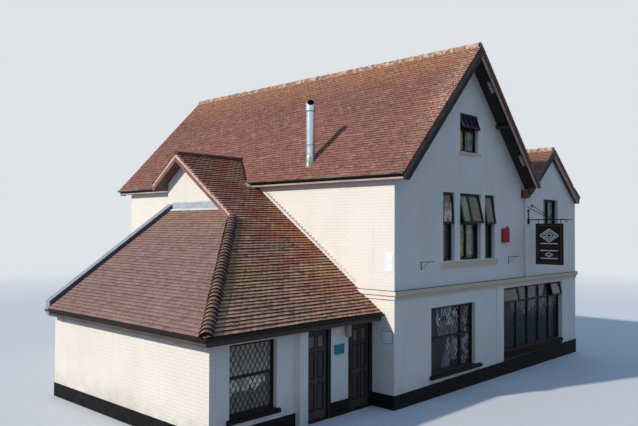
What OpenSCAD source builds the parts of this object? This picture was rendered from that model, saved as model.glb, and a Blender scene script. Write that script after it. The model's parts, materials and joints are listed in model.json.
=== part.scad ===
// A village inn: a tall gabled main block with its gable to the street, a
// smaller second gable beside it, and a low hipped range with a gablet on the
// sunny long side. Rendered and painted brick, plain-tiled roofs.
// Building coordinates: the street corner of the main block is at X 0, Y 0,
// X runs along the street, Y away from it and Z up from the lowest ground.

/* [Main block] */
// Width of the main block along the street
main_w = 6480; // [6200:10:6900]
// Depth of both street blocks
main_d = 11500; // [10500:10:13000]
// Thickness of the outer walls
wall_t = 300; // [240:5:360]
// Pitch of the main roof in degrees
main_pitch = 46; // [44:0.5:48]
// Height of the top of the main roof slab at its eaves edge
main_eaves_z = 5508; // [5450:1:5700]
// How far the main roof slab passes the long wall
main_eaves_over = 190; // [150:5:260]
// How far the main roof slab passes the gable walls
main_verge_over = 400; // [300:5:480]
// Thickness of every roof slab, square to its slope
roof_t = 150; // [120:5:180]

/* [Second gable] */
// Width of the second gable along the street
wing_w = 3780; // [3500:10:4200]
// Height of the top of its roof slab at the ridge
wing_ridge_z = 6760; // [6600:5:6900]
// Pitch of its roof in degrees
wing_pitch = 38; // [36:0.5:40]
// How far its roof slab passes the gable wall
wing_verge_over = 95; // [60:5:160]
// How far its roof slab passes the side wall
wing_eaves_over = 100; // [60:5:200]
// Run of the flatter sprocketed tiles at its eaves
sprocket_run = 510; // [400:10:700]
// Pitch of those tiles in degrees
sprocket_pitch = 31.5; // [29:0.5:35]

/* [Storeys] */
// Top of the ground floor slab
ground_floor_z = 150; // [80:5:250]
// Level where the ground storey walls end and the upper walls start
first_floor_z = 2650; // [2600:5:2720]
// Top of the attic floor
attic_floor_z = 5440; // [5380:5:5480]
// Thickness of the upper floors
floor_t = 200; // [150:5:260]
// How far the valley wall stops behind the street wall in the ground storey
bar_depth = 2400; // [1500:50:4000]
// Depth of the beam that carries the valley wall across that gap
bar_beam = 320; // [200:10:400]

/* [Lower range] */
// Length of the lower range from the long wall to its hipped end
low_w = 4820; // [4600:10:5400]
// Setback of its door wall behind the street front
low_front = 657; // [600:5:900]
// Distance of its back wall's outer face from the street front
low_back = 6970; // [6900:10:7400]
// Pitch of all its roof slopes in degrees
low_pitch = 35; // [34:0.5:36]
// Top of its roof slab at the eaves edge
low_eaves_z = 2225; // [2200:5:2300]
// How far its roof slab passes the door wall
low_front_over = 237; // [180:1:300]
// How far its roof slab passes the hipped end wall
low_end_over = 250; // [180:5:300]
// Distance of its ridge from the street front
low_ridge_y = 6150; // [6050:10:6300]
// How far its short back slope passes the back wall
low_back_over = 300; // [200:10:360]
// Distance of the gablet wall's face from the long wall
gablet_x = 1520; // [1400:10:1700]
// How far the gablet roof passes its wall
gablet_over = 300; // [200:10:360]
// Thickness of the gablet wall
gablet_t = 150; // [100:5:200]
// Width of the lead-clad kerb along the north edge of the hipped end
kerb_w = 220; // [150:5:280]
// How far the kerb stands above the roof slab
kerb_h = 170; // [120:5:220]
// Top of the lower range's floor
low_floor_z = 40; // [20:5:80]

/* [Doors] */
// Width of each door opening between walls
door_open_w = 874; // [850:2:900]
// Width of the wall between the two door openings
door_pier_w = 582; // [500:2:650]
// Top of the door frames
door_head_z = 2050; // [2020:5:2070]
// Face width of the jambs
jamb_w = 90; // [60:5:110]
// Face height of the door heads
head_h = 70; // [50:5:90]
// Depth of the stop in front of the leaf
stop_d = 45; // [30:1:60]
// How far the stop covers the leaf's edge
stop_cover = 14; // [10:1:20]
// Thickness of the door leaves
leaf_t = 44; // [40:1:50]
// Clear gap round each leaf
leaf_gap = 5; // [5:0.5:8]
// Radius of the hinge knuckles
knuckle_r = 6; // [5:0.5:9]
// Height of one hinge
hinge_h = 100; // [75:5:150]
// Width of the pilaster beside the left door
pilaster_w = 245; // [150:5:300]
// How far the pilaster stands out of the wall
pilaster_d = 146; // [60:2:150]

/* [Windows] */
// Distance of the low range's window from its end
low_window_inset = 480; // [400:10:700]
// Width of that window
low_window_w = 1240; // [1100:10:1300]
// Its foot
low_window_foot_z = 540; // [480:10:600]
// Its head
low_window_head_z = 1960; // [1900:10:2000]
// Height of its transom
low_window_transom_z = 1290; // [1200:10:1400]
// Depth of the reveal between wall face and window frame
reveal = 100; // [60:5:120]
// Depth of a window's outer frame
frame_d = 70; // [60:5:90]
// Depth of mullions and transoms
bar_d = 45; // [35:1:55]
// Face width of outer frames
frame_w = 55; // [40:1:70]
// Face width of mullions and transoms
bar_w = 50; // [40:1:60]
// Thickness of the glass
glass_t = 6; // [4:1:10]
// Distance of the first floor's middle window from the corner, to its centre
mid_window_x = 3390; // [3200:10:3500]
// Width of that window
mid_window_w = 1060; // [900:10:1200]
// Width of the narrow windows on either side of it
side_window_w = 540; // [450:10:650]
// Width of the wall between it and the left one
side_pier_w = 270; // [200:10:330]
// Width of the wall between it and the right one
right_pier_w = 235; // [200:5:330]
// Where its mullion and the attic's stand, as a part of the window's width
mullion_at = 0.43; // [0.3:0.01:0.6]
// Distance of the attic window from the corner, to its centre
attic_window_x = 3335; // [3150:5:3450]
// Width of the attic window
attic_window_w = 930; // [700:10:1100]
// Foot of the attic window
attic_foot_z = 6270; // [6200:10:6350]
// Head of the attic window
attic_head_z = 7290; // [7150:10:7350]
// Height of its transom
attic_transom_z = 6865; // [6700:5:6950]
// Distance of the second gable's window from the main block, to its centre
wing_window_x = 1870; // [1700:10:2050]
// Width of the second gable's window
wing_window_w = 1080; // [900:10:1300]
// Head of the three windows in the middle of the first floor
upper_head_z = 5150; // [5100:5:5200]
// Foot of those windows
upper_foot_z = 3380; // [3340:5:3450]
// Height of their transoms
upper_transom_z = 4335; // [4250:5:4420]
// How far the top-hung lights of the first floor's three windows stand open, in degrees
vent_angles = [4, 13, 8.5]; // [0:0.5:20]
// How far the attic's stands open
attic_vent_angle = 20; // [0:1:25]
// How far the first and the last of the shop front stand open
shop_vent_angle = 13; // [0:1:20]
// How far the sills stand out of the wall
sill_out = 60; // [40:5:80]
// Height of the single sills
sill_h = 90; // [60:5:120]
// How far they pass their windows
sill_past = 70; // [40:5:110]
// Height of the sill under the first floor's three windows
long_sill_h = 160; // [120:5:180]
// How far that sill passes the left one
long_sill_past = 140; // [60:5:180]
// How far the sill of the window beside the shop front passes its right side
bay_sill_past = 240; // [60:10:300]
// Width of the window beside the shop front in the ground storey
bay_w = 2110; // [1900:10:2300]
// Its distance from the corner
bay_x = 1510; // [1400:10:1700]
// Its foot
bay_foot_z = 560; // [520:5:620]
// Its head
bay_head_z = 2230; // [2150:5:2300]
// Height of its transom
bay_transom_z = 1430; // [1350:10:1550]
// Distance of its mullion from its left side
bay_mullion = 1510; // [900:10:1600]
// Distance of the shop front from the corner
shop_x = 5170; // [5100:10:5300]
// Width of the shop front
shop_w = 3960; // [3800:10:4100]
// Foot of the shop front's glazing
shop_foot_z = 630; // [580:5:680]
// Head of the shop front
shop_head_z = 2490; // [2450:5:2510]
// Height of the shop front's transom
shop_transom_z = 2040; // [1980:5:2080]
// Number of lights across the shop front
shop_lights = 5; // [4:1:6]
// Width of its first light
shop_first_w = 1010; // [700:10:1100]
// Width of the flat strips of wall on either side of it
shop_strip_w = 390; // [300:10:450]
// How far they stand out of the wall
shop_strip_out = 25; // [15:1:35]

/* [Trim] */
// Height of the black plinth at the street corner
plinth_h = 330; // [280:5:400]
// How much its top rises to the far end of the street front
plinth_rise = 120; // [60:5:160]
// How far the plinth stands out of the wall
plinth_t = 14; // [8:1:20]
// Top of the string course
string_z = 2750; // [2730:5:2790]
// Height of the string course
string_h = 200; // [160:5:220]
// How far the string course stands out
string_out = 90; // [60:5:110]
// Thickness of lead sheet
lead_t = 6; // [4:1:8]
// Vertical depth of the main barge boards
barge_h = 380; // [300:5:420]
// Vertical depth of the second gable's barge boards
wing_barge_h = 270; // [220:5:320]
// Vertical depth of the gablet's barge boards
gablet_barge_h = 190; // [150:5:240]
// Thickness of barge boards
barge_t = 28; // [20:1:32]
// Thickness of the strip that covers their upper part
cover_t = 22; // [15:1:30]
// Radius of the ridge tiles
ridge_r = 115; // [100:1:130]
// Length of one ridge tile
ridge_tile = 450; // [300:10:460]
// How much of each bonnet tile shows along the hip
bonnet_gauge = 140; // [110:5:220]
// How far the foot of a bonnet tile flares beyond its middle
bonnet_lift = 13; // [6:1:18]
// Width of the gutters
gutter_w = 110; // [90:2:125]
// Height of the main fascia boards
fascia_h = 135; // [110:5:180]
// Thickness of fascia boards
fascia_t = 25; // [18:1:30]

/* [Flue and sign] */
// Outer diameter of the flue
flue_d = 230; // [200:1:250]
// Distance of the flue from the street front
flue_y = 2940; // [2700:10:3600]
// Distance of the flue from the long wall's face
flue_x = 210; // [150:5:300]
// Top of the flue's cowl
flue_top_z = 7625; // [7400:5:7800]
// Distance of the sign from the corner
sign_x = 6724; // [6700:1:6740]
// Height of the sign's bar
sign_bar_z = 4488; // [4440:1:4560]
// How far the bar reaches out
sign_bar_out = 1420; // [1350:5:1500]
// Width of the hanging board
board_w = 850; // [800:5:900]
// Height of the hanging board
board_h = 1230; // [1150:5:1300]
// Thickness of the hanging board
board_t = 45; // [35:1:60]
// Places along the street front of the two basket brackets
basket_x = [1075, 5506]; // [800:1:6000]
// Height of their arms
basket_z = 3400; // [3300:5:3500]
// Left side of the alarm box
alarm_x = 5076; // [5000:2:5110]
// Width of the alarm box
alarm_w = 350; // [300:5:380]
// Foot of the alarm box
alarm_z = 3815; // [3750:5:3850]
// Height of the alarm box
alarm_h = 410; // [380:5:430]
// How far the alarm box stands out
alarm_out = 80; // [60:5:110]
// Diameter of the lamp on top of the alarm box
alarm_lamp_d = 60; // [40:5:70]

/* [Hidden] */

e = 1;
big = 20000;
full_w = main_w + wing_w;

// Clear gap between a slab and what carries it, and at joints in long boards
seat = 0.3;

// Roof planes: every height below is the top of a roof slab
main_k = tan(main_pitch);
main_v = roof_t / cos(main_pitch);
main_ridge_x = main_w / 2;
main_ridge_z = main_eaves_z + (main_ridge_x + main_eaves_over) * main_k;
function main_top(x) = main_ridge_z - abs(x - main_ridge_x) * main_k;
function main_under(x) = main_top(x) - main_v;
function main_seat(x) = main_under(x) - seat;
// The slab's toe is cut level where its underside would come below the soffit board
soffit_z = main_eaves_z - fascia_h - fascia_t;
main_toe_z = max(main_under(-main_eaves_over), soffit_z + fascia_t + seat);
main_toe_in = (main_toe_z - main_under(-main_eaves_over)) / main_k;

wing_k = tan(wing_pitch);
wing_v = roof_t / cos(wing_pitch);
wing_ridge_x = main_w + wing_w / 2;
wing_toe_x = full_w + wing_eaves_over;
wing_knee_x = wing_toe_x - sprocket_run;
wing_knee_z = wing_ridge_z - (wing_knee_x - wing_ridge_x) * wing_k;
function wing_top(x) = x <= wing_knee_x ? wing_ridge_z - abs(x - wing_ridge_x) * wing_k
    : wing_knee_z - (x - wing_knee_x) * tan(sprocket_pitch);
function wing_under(x) = wing_top(x) - wing_v;
function wing_seat(x) = wing_under(x) - seat;
// The valley is where the main roof's east slope meets the wing's west slope
valley_x = (main_ridge_z + main_ridge_x * main_k - wing_ridge_z + wing_ridge_x * wing_k) / (main_k + wing_k);
valley_z = main_top(valley_x);

low_k = tan(low_pitch);
low_v = roof_t / cos(low_pitch);
low_toe_y = low_front - low_front_over;
low_toe_x = -low_w - low_end_over;
low_ridge_z = low_eaves_z + (low_ridge_y - low_toe_y) * low_k;
low_north_toe_y = low_back + low_back_over;
function low_top_y(y) = low_ridge_z - abs(y - low_ridge_y) * low_k;
function low_top_x(x) = low_eaves_z + (x - low_toe_x) * low_k;
function hip_y(x) = low_toe_y + x - low_toe_x;
verge_x = -gablet_x - gablet_over;
kerb_y0 = low_back - kerb_w;
// The lower roof is drawn as far as this inside the main block, then cut at its outside
low_inner_x = main_ridge_x / 2;
// Depth of the tile layer that the scene lays on the slabs
tile_layer = 60;

// The origin of the part is the bottom centre of its bounding box
box_x0 = low_toe_x - fascia_t - gutter_w;
box_x1 = wing_toe_x + fascia_t + gutter_w;
box_y0 = -sign_bar_out;
box_y1 = main_d + main_verge_over + barge_t + cover_t;
module placed() {
    translate([-(box_x0 + box_x1) / 2, -(box_y0 + box_y1) / 2, 0])
        children();
}

// A flat shape drawn in X and Z, given thickness from y0 to y1
module across(y0, y1) {
    translate([0, y1, 0])
        rotate([90, 0, 0])
            linear_extrude(height = y1 - y0)
                children();
}

// A flat shape drawn in Y and Z, given thickness from x0 to x1
module along(x0, x1) {
    translate([x0, 0, 0])
        rotate([90, 0, 90])
            linear_extrude(height = x1 - x0)
                children();
}

module block(x, y, z) {
    translate([x[0], y[0], z[0]])
        cube([x[1] - x[0], y[1] - y[0], z[1] - z[0]]);
}

module rect(x, z) {
    translate([x[0], z[0]])
        square([x[1] - x[0], z[1] - z[0]]);
}

// Windows of the upper street front: [left, right, foot, head, transom, mullions]
mid_x0 = mid_window_x - mid_window_w / 2;
mid_x1 = mid_window_x + mid_window_w / 2;
attic_x0 = attic_window_x - attic_window_w / 2;
upper_windows = [
    [mid_x0 - side_pier_w - side_window_w, mid_x0 - side_pier_w, upper_foot_z, upper_head_z,
        upper_transom_z, []],
    [mid_x0, mid_x1, upper_foot_z, upper_head_z, upper_transom_z, [mid_x0 + mullion_at * mid_window_w]],
    [mid_x1 + right_pier_w, mid_x1 + right_pier_w + side_window_w, upper_foot_z, upper_head_z,
        upper_transom_z, []],
    [attic_x0, attic_x0 + attic_window_w, attic_foot_z, attic_head_z, attic_transom_z,
        [attic_x0 + mullion_at * attic_window_w]],
    [main_w + wing_window_x - wing_window_w / 2, main_w + wing_window_x + wing_window_w / 2,
        upper_foot_z, upper_head_z, upper_transom_z, [main_w + wing_window_x]]];
bay = [bay_x, bay_x + bay_w, bay_foot_z, bay_head_z, bay_transom_z, [bay_x + bay_mullion]];
shop_mullions = [for (i = [0:shop_lights - 2])
    shop_x + shop_first_w + i * (shop_w - shop_first_w) / (shop_lights - 1)];
shop = [shop_x, shop_x + shop_w, shop_foot_z, shop_head_z, shop_transom_z, shop_mullions];
low_window = [low_window_inset - low_w, low_window_inset - low_w + low_window_w,
    low_window_foot_z, low_window_head_z, low_window_transom_z, []];

// Open top-hung lights: [left, right, foot, head, angle, bars, bar width]. The first
// four upper windows have one each, as wide as the window, and the shop front has two.
light_angles = concat(vent_angles, [attic_vent_angle]);
sash_d = 45;
glass_front = 25;
sash_clear = 5;
sash_drop = 25;
thin_bar_w = 18;
open_lights = concat(
    [for (i = [0:len(light_angles) - 1])
        let (w = upper_windows[i], thin = i == len(light_angles) - 1)
            [w[0] + sash_clear, w[1] - sash_clear, w[4], w[3] - sash_drop, light_angles[i],
                thin ? [for (part = [0.25, 0.5, 0.75]) w[0] + part * (w[1] - w[0])] : w[5],
                thin ? thin_bar_w : bar_w]],
    [for (xs = [[shop[0] + sash_clear, shop_mullions[0]],
            [shop_mullions[shop_lights - 2], shop[1] - sash_clear]])
        [xs[0], xs[1], shop[4], shop[3] - sash_drop, shop_vent_angle, [], bar_w]]);
// The rear front repeats the upper windows and has two plain ones below
rear_windows = concat(upper_windows, [
    bay,
    [wing_ridge_x - bay_w / 2, wing_ridge_x + bay_w / 2, bay_foot_z, bay_head_z, bay_transom_z,
        [wing_ridge_x]]]);

// All that lies below the lower range's south slope, raised by h
module under_south_slope(h) {
    along(-big, e)
        polygon([[low_toe_y, -e], [low_toe_y, low_eaves_z + h], [low_ridge_y, low_ridge_z + h],
            [low_ridge_y, -e]]);
}

// Plan region on one side (-1 street, 1 end) of the line that runs at 45 degrees
// through x, y, as for a mitre
module beside_mitre(x, y, side) {
    translate([x - side * seat / 2, y + side * seat / 2, 0])
        linear_extrude(height = big)
            polygon([[-big, -big], [big, big], side < 0 ? [big, -big] : [-big, big]]);
}

// What is drawn, cut in two with a fine joint at x
module jointed_at(x) {
    for (side = [-1, 1])
        intersection() {
            children();
            translate([x + side * (2 * big + seat) / 2, 0, 0])
                cube(2 * big, center = true);
        }
}

// A round rod from point a to point b
module rod(a, b, d) {
    way = b - a;
    translate(a)
        rotate([0, acos(way[2] / norm(way)), atan2(way[1], way[0])])
            cylinder(d = d, h = norm(way), $fn = 24);
}

module window_holes(list) {
    for (w = list)
        rect([w[0], w[1]], [w[2], w[3]]);
}

// Outline of both gables above a given level, up to the roof slabs
module gables(z0) {
    polygon([[0, z0], [full_w, z0], [full_w, wing_seat(full_w)],
        [wing_knee_x, wing_seat(wing_knee_x)], [wing_ridge_x, wing_seat(wing_ridge_x)],
        [valley_x, wing_seat(valley_x)], [valley_x, main_seat(valley_x)],
        [main_ridge_x, main_seat(main_ridge_x)], [0, main_seat(0)]]);
}

module ground_street_wall() {
    color("ivory") placed() {
        across(0, wall_t) difference() {
            rect([0, full_w], [0, first_floor_z]);
            window_holes([bay, shop]);
        }
        for (x = [shop[0] - shop_strip_w, shop[1]])
            block([x, x + shop_strip_w], [-shop_strip_out, e],
                [plinth_h + plinth_rise + 5, string_z - string_h]);
    }
}

module upper_street_wall() {
    color("ivory") placed()
        across(0, wall_t) difference() {
            gables(first_floor_z);
            window_holes(upper_windows);
        }
}

module rear_wall() {
    color("ivory") placed()
        across(main_d - wall_t, main_d) difference() {
            gables(0);
            window_holes(rear_windows);
        }
}

module west_wall() {
    color("ivory") placed()
        across(wall_t, main_d - wall_t)
            polygon([[0, 0], [wall_t, 0], [wall_t, main_seat(wall_t)], [0, main_seat(0)]]);
}

module east_wall() {
    x0 = full_w - wall_t;
    color("ivory") placed()
        across(wall_t, main_d - wall_t)
            polygon([[x0, 0], [full_w, 0], [full_w, wing_seat(full_w)], [x0, wing_seat(x0)]]);
}

module valley_wall() {
    x0 = main_w - wall_t;
    color("ivory") placed()
        difference() {
            across(wall_t, main_d - wall_t)
                polygon([[x0, ground_floor_z], [main_w, ground_floor_z],
                    [main_w, main_seat(main_w)], [x0, main_seat(x0)]]);
            block([x0 - e, main_w + e], [0, wall_t + bar_depth],
                [0, first_floor_z - floor_t - bar_beam]);
        }
}

module ground_floors() {
    color("dimgray") placed() {
        block([wall_t, full_w - wall_t], [wall_t, main_d - wall_t], [0, ground_floor_z]);
        block([-low_w + wall_t, 0], [low_front + wall_t, low_back - wall_t], [0, low_floor_z]);
    }
}

module upper_floors() {
    color("burlywood") placed()
        for (floor_at = [[wall_t, main_w - wall_t, first_floor_z], [main_w, full_w - wall_t, first_floor_z],
                [wall_t, main_w - wall_t, attic_floor_z]])
            block([floor_at[0], floor_at[1]], [wall_t, main_d - wall_t], [floor_at[2] - floor_t, floor_at[2]]);
}

// Black-painted band at the foot of the walls, broken at the doors
module plinth() {
    low_door_x = -2 * door_open_w - door_pier_w;
    end_h = plinth_h + plinth_rise;
    color([0.12, 0.12, 0.13]) placed() {
        across(-plinth_t, 0)
            polygon([[-plinth_t, 0], [full_w + plinth_t, 0], [full_w + plinth_t, end_h],
                [-plinth_t, plinth_h]]);
        block([-plinth_t, 0], [seat, low_front], [0, plinth_h]);
        block([-door_open_w - door_pier_w, -door_open_w], [low_front - plinth_t, low_front],
            [0, plinth_h]);
        block([-low_w - plinth_t, low_door_x - pilaster_w], [low_front - plinth_t, low_front],
            [0, plinth_h]);
        block([-low_w - plinth_t, -low_w], [low_front + seat, low_back], [0, plinth_h]);
        block([full_w, full_w + plinth_t], [seat, main_d - seat], [0, end_h]);
        block([0, full_w + plinth_t], [main_d, main_d + plinth_t], [0, plinth_h]);
    }
}

// Section of the string course, standing out of a wall at u 0
module string_section() {
    polygon([[0, string_z - string_h], [string_out * 0.45, string_z - string_h],
        [string_out * 0.45, string_z - string_h * 0.62], [string_out, string_z - string_h * 0.5],
        [string_out, string_z], [0, string_z]]);
}

string_end_y = low_toe_y + (string_z - tile_layer - low_eaves_z) / low_k;
module string_course() {
    color("ivory") placed() {
        intersection() {
            along(-string_out, full_w)
                mirror([1, 0]) string_section();
            beside_mitre(0, 0, -1);
        }
        difference() {
            intersection() {
                across(-string_out, string_end_y)
                    mirror([1, 0]) string_section();
                beside_mitre(0, 0, 1);
            }
            under_south_slope(tile_layer);
        }
    }
}

// Section of one slope of a roof slab between two places
module slab(a, za, b, zb, v) {
    polygon([[a, za - v], [b, zb - v], [b, zb], [a, za]]);
}

module main_west_slope() {
    color("sienna") placed()
        across(-main_verge_over, main_d + main_verge_over)
            polygon([[-main_eaves_over, main_toe_z], [main_toe_in - main_eaves_over, main_toe_z],
                [main_ridge_x, main_under(main_ridge_x)], [main_ridge_x, main_ridge_z],
                [-main_eaves_over, main_eaves_z]]);
}

// Past the second gable's barge boards the slab is cut level with the foot of its own
module main_east_slope() {
    past = wing_verge_over + barge_t;
    color("sienna") placed()
        difference() {
            across(-main_verge_over, main_d + main_verge_over)
                slab(main_ridge_x, main_ridge_z, valley_x, valley_z, main_v);
            for (y = [[-big, -past], [main_d + past, big]])
                block([main_ridge_x, valley_x + e], y, [0, valley_z - fascia_t]);
        }
}

module wing_west_slope() {
    color("sienna") placed()
        across(-wing_verge_over, main_d + wing_verge_over)
            slab(valley_x, valley_z, wing_ridge_x, wing_ridge_z, wing_v);
}

module wing_east_slope() {
    color("sienna") placed()
        across(-wing_verge_over, main_d + wing_verge_over)
            polygon([[wing_ridge_x, wing_under(wing_ridge_x)], [wing_knee_x, wing_under(wing_knee_x)],
                [wing_toe_x, wing_under(wing_toe_x)], [wing_toe_x, wing_top(wing_toe_x)],
                [wing_knee_x, wing_knee_z], [wing_ridge_x, wing_ridge_z]]);
}

// All that the main block fills with its eaves, grown by a gap, for cutting the lower roof
module main_envelope(gap) {
    across(-main_verge_over, main_d + main_verge_over)
        polygon([[0, -e], [main_ridge_x, -e], [main_ridge_x, main_ridge_z + gap],
            [-main_eaves_over - gap, main_eaves_z + gap],
            [-main_eaves_over - gap, main_toe_z - gap], [main_toe_in - main_eaves_over, main_toe_z - gap],
            [0, main_under(0) - gap]]);
}

// The long south slope of the lower range, mitred at the hip
module low_south_slope() {
    color("sienna") placed()
        difference() {
            intersection() {
                along(low_toe_x, low_inner_x)
                    slab(low_toe_y, low_eaves_z, low_ridge_y, low_ridge_z, low_v);
                linear_extrude(height = big)
                    polygon([[low_toe_x, low_toe_y], [low_inner_x, low_toe_y], [low_inner_x, low_ridge_y],
                        [verge_x, low_ridge_y], [verge_x, hip_y(verge_x)]]);
            }
            main_envelope(seat);
        }
}

module low_north_slope() {
    color("sienna") placed()
        difference() {
            along(verge_x, low_inner_x)
                slab(low_ridge_y, low_ridge_z, low_north_toe_y, low_top_y(low_north_toe_y), low_v);
            main_envelope(seat);
        }
}

module low_hip_slope() {
    color("sienna") placed()
        difference() {
            intersection() {
                across(low_toe_y, kerb_y0)
                    slab(low_toe_x, low_eaves_z, -gablet_x, low_top_x(-gablet_x), low_v);
                linear_extrude(height = big)
                    polygon([[low_toe_x, low_toe_y], [-gablet_x, hip_y(-gablet_x)],
                        [-gablet_x, kerb_y0], [low_toe_x, kerb_y0]]);
            }
            along(verge_x, 0)
                slab(low_toe_y, low_eaves_z, low_ridge_y, low_ridge_z, low_v);
        }
}

// Ridge tiles between two places on a level ridge along Y
module ridge_run(length, r, pitch) {
    count = floor(length / ridge_tile);
    drop = r * 0.15;
    roll_w = 60;
    roll_lift = 8;
    rotate([-90, 0, 0])
        difference() {
            union() {
                translate([0, drop, 0]) cylinder(r = r, h = length, $fn = 32);
                for (i = [1:count - 1])
                    translate([0, drop, i * length / count - roll_w / 2])
                        cylinder(r = r + roll_lift, h = roll_w, $fn = 32);
            }
            linear_extrude(height = 3 * length, center = true)
                polygon([[0, -seat], [2 * r, 2 * r * tan(pitch) - seat], [2 * r, 6 * r], [-2 * r, 6 * r],
                    [-2 * r, 2 * r * tan(pitch) - seat]]);
        }
}

module ridge_tiles() {
    color([0.72, 0.5, 0.38]) placed() {
        translate([main_ridge_x, -main_verge_over, main_ridge_z])
            ridge_run(main_d + 2 * main_verge_over, ridge_r, main_pitch);
        translate([wing_ridge_x, -wing_verge_over, wing_ridge_z])
            ridge_run(main_d + 2 * wing_verge_over, ridge_r, wing_pitch);
        difference() {
            translate([verge_x, low_ridge_y, low_ridge_z])
                rotate([0, 0, -90])
                    ridge_run(-verge_x + low_inner_x, ridge_r, low_pitch);
            main_envelope(seat);
        }
    }
}

// The row of bonnet tiles along the hip: each is a flaring piece that laps the next one down
module bonnet_tiles() {
    run = sqrt(2) * (verge_x - low_toe_x);
    rise = (verge_x - low_toe_x) * low_k;
    length = sqrt(run * run + rise * rise);
    count = round(length / bonnet_gauge);
    color([0.45, 0.33, 0.29]) placed()
        intersection() {
            difference() {
                translate([low_toe_x, low_toe_y, low_eaves_z])
                    rotate([0, -atan(rise / run), 45])
                        rotate([0, 90, 0])
                            translate([ridge_r * 0.15, 0, 0])
                                rotate_extrude($fn = 32)
                                    polygon(concat([[0, 0]],
                                        [for (i = [0:count - 1]) for (s = [0, 1])
                                            [ridge_r + (1 - 2 * s) * bonnet_lift, (i + s) * length / count]],
                                        [[0, length]]));
                translate([0, 0, seat])
                    intersection() {
                        across(-big, big)
                            polygon([[low_toe_x - big, low_eaves_z - big * low_k], [0, low_top_x(0)],
                                [0, -2 * big], [low_toe_x - big, -2 * big]]);
                        along(-big, big)
                            polygon([[low_toe_y - big, low_eaves_z - big * low_k],
                                [low_ridge_y, low_ridge_z], [low_ridge_y, -2 * big],
                                [low_toe_y - big, -2 * big]]);
                    }
            }
            block([low_toe_x, verge_x - barge_t - seat], [low_toe_y, low_ridge_y], [0, big]);
        }
}

// Outline in X and Z of a board below the main verge, h deep, with feet cut level
module main_barge_outline(h) {
    foot_a = max(soffit_z - fascia_t, main_eaves_z - h);
    foot_b = valley_z - fascia_t;
    polygon([[-main_eaves_over, main_eaves_z], [main_ridge_x, main_ridge_z], [valley_x, valley_z],
        [valley_x, foot_b], [main_ridge_x + (main_ridge_z - h - foot_b) / main_k, foot_b],
        [main_ridge_x, main_ridge_z - h],
        [main_ridge_x - (main_ridge_z - h - foot_a) / main_k, foot_a], [-main_eaves_over, foot_a]]);
}

module main_barge_boards() {
    cover_h = 110;
    color([0.28, 0.2, 0.17]) placed()
        jointed_at(main_ridge_x)
            for (side = [0, 1])
                translate([0, side * main_d, 0])
                    mirror([0, side, 0]) {
                        across(-main_verge_over - barge_t, -main_verge_over)
                            main_barge_outline(barge_h);
                        across(-main_verge_over - barge_t - cover_t, -main_verge_over - barge_t)
                            main_barge_outline(cover_h);
                    }
}

hopper_out = 90;
hopper_top_z = min(wing_under(valley_x), main_under(valley_x)) - 5;
module wing_barge_boards() {
    foot_z = wing_under(wing_toe_x) - fascia_t;
    near_z = hopper_top_z + 20;
    foot_in = 60;
    color([0.24, 0.19, 0.17]) placed()
        jointed_at(wing_ridge_x)
            for (y = [-wing_verge_over - barge_t, main_d + wing_verge_over])
                across(y, y + barge_t)
                    polygon([[valley_x, valley_z], [wing_ridge_x, wing_ridge_z], [wing_knee_x, wing_knee_z],
                        [wing_toe_x, wing_top(wing_toe_x)], [wing_toe_x, foot_z], [full_w - foot_in, foot_z],
                        [wing_knee_x, wing_knee_z - wing_barge_h],
                        [wing_ridge_x, wing_ridge_z - wing_barge_h],
                        [wing_ridge_x - (wing_ridge_z - wing_barge_h - near_z) / wing_k, near_z],
                        [valley_x, near_z]]);
}

module gablet_barge_boards() {
    foot_y = hip_y(verge_x);
    color([0.55, 0.36, 0.28]) placed()
        difference() {
            along(verge_x - barge_t, verge_x) {
                polygon([[foot_y, low_top_y(foot_y)], [low_ridge_y - seat / 2, low_ridge_z],
                    [low_ridge_y - seat / 2, low_ridge_z - gablet_barge_h],
                    [foot_y, low_top_y(foot_y) - gablet_barge_h]]);
                polygon([[low_ridge_y + seat / 2, low_ridge_z],
                    [low_north_toe_y, low_top_y(low_north_toe_y)],
                    [low_north_toe_y, low_top_y(low_north_toe_y) - gablet_barge_h],
                    [low_ridge_y + seat / 2, low_ridge_z - gablet_barge_h]]);
            }
            translate([0, 0, seat])
                across(0, big)
                    polygon([[low_toe_x, low_eaves_z], [0, low_top_x(0)], [0, -big], [low_toe_x, -big]]);
        }
}

// Under the main verges: a purlin from the wall to the barge board half way down each
// slope, and a packing block behind the board on either side of it
module purlin_ends() {
    purlin = [100, 130];
    packing = [360, 60];
    packing_reach = 130;
    color([0.75, 0.73, 0.68]) placed()
        for (side = [0, 1])
            translate([0, side * main_d, 0])
                mirror([0, side, 0]) {
                    across(-main_verge_over, 0)
                        under_main_verge(0.5, purlin);
                    for (down = [0.22, 0.78])
                        across(-main_verge_over, packing_reach - main_verge_over)
                            under_main_verge(down, packing);
                }
}

// A rectangle under both main slopes, with its middle at a part of the way down each
module under_main_verge(down, size) {
    x = main_ridge_x * down;
    for (side = [-1, 1])
        translate([main_ridge_x + side * x, main_seat(main_ridge_x + x)])
            rotate(-side * main_pitch)
                translate([-size[0] / 2, -size[1]]) square(size);
}

// How far fascias and gutters stay below the top of the slab they follow
fascia_drop = 10;
gutter_drop = 15;
// The main eaves stop where the lower roof passes through them
eaves_stop_y = low_toe_y + (soffit_z - low_eaves_z) / low_k;
eaves_start_y = low_north_toe_y + 20;

module eaves_section(toe_x, top_z, foot_z, wall_x) {
    polygon([[toe_x - fascia_t, top_z], [toe_x, top_z], [toe_x, foot_z + fascia_t],
        [wall_x, foot_z + fascia_t], [wall_x, foot_z], [toe_x - fascia_t, foot_z]]);
}

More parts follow.
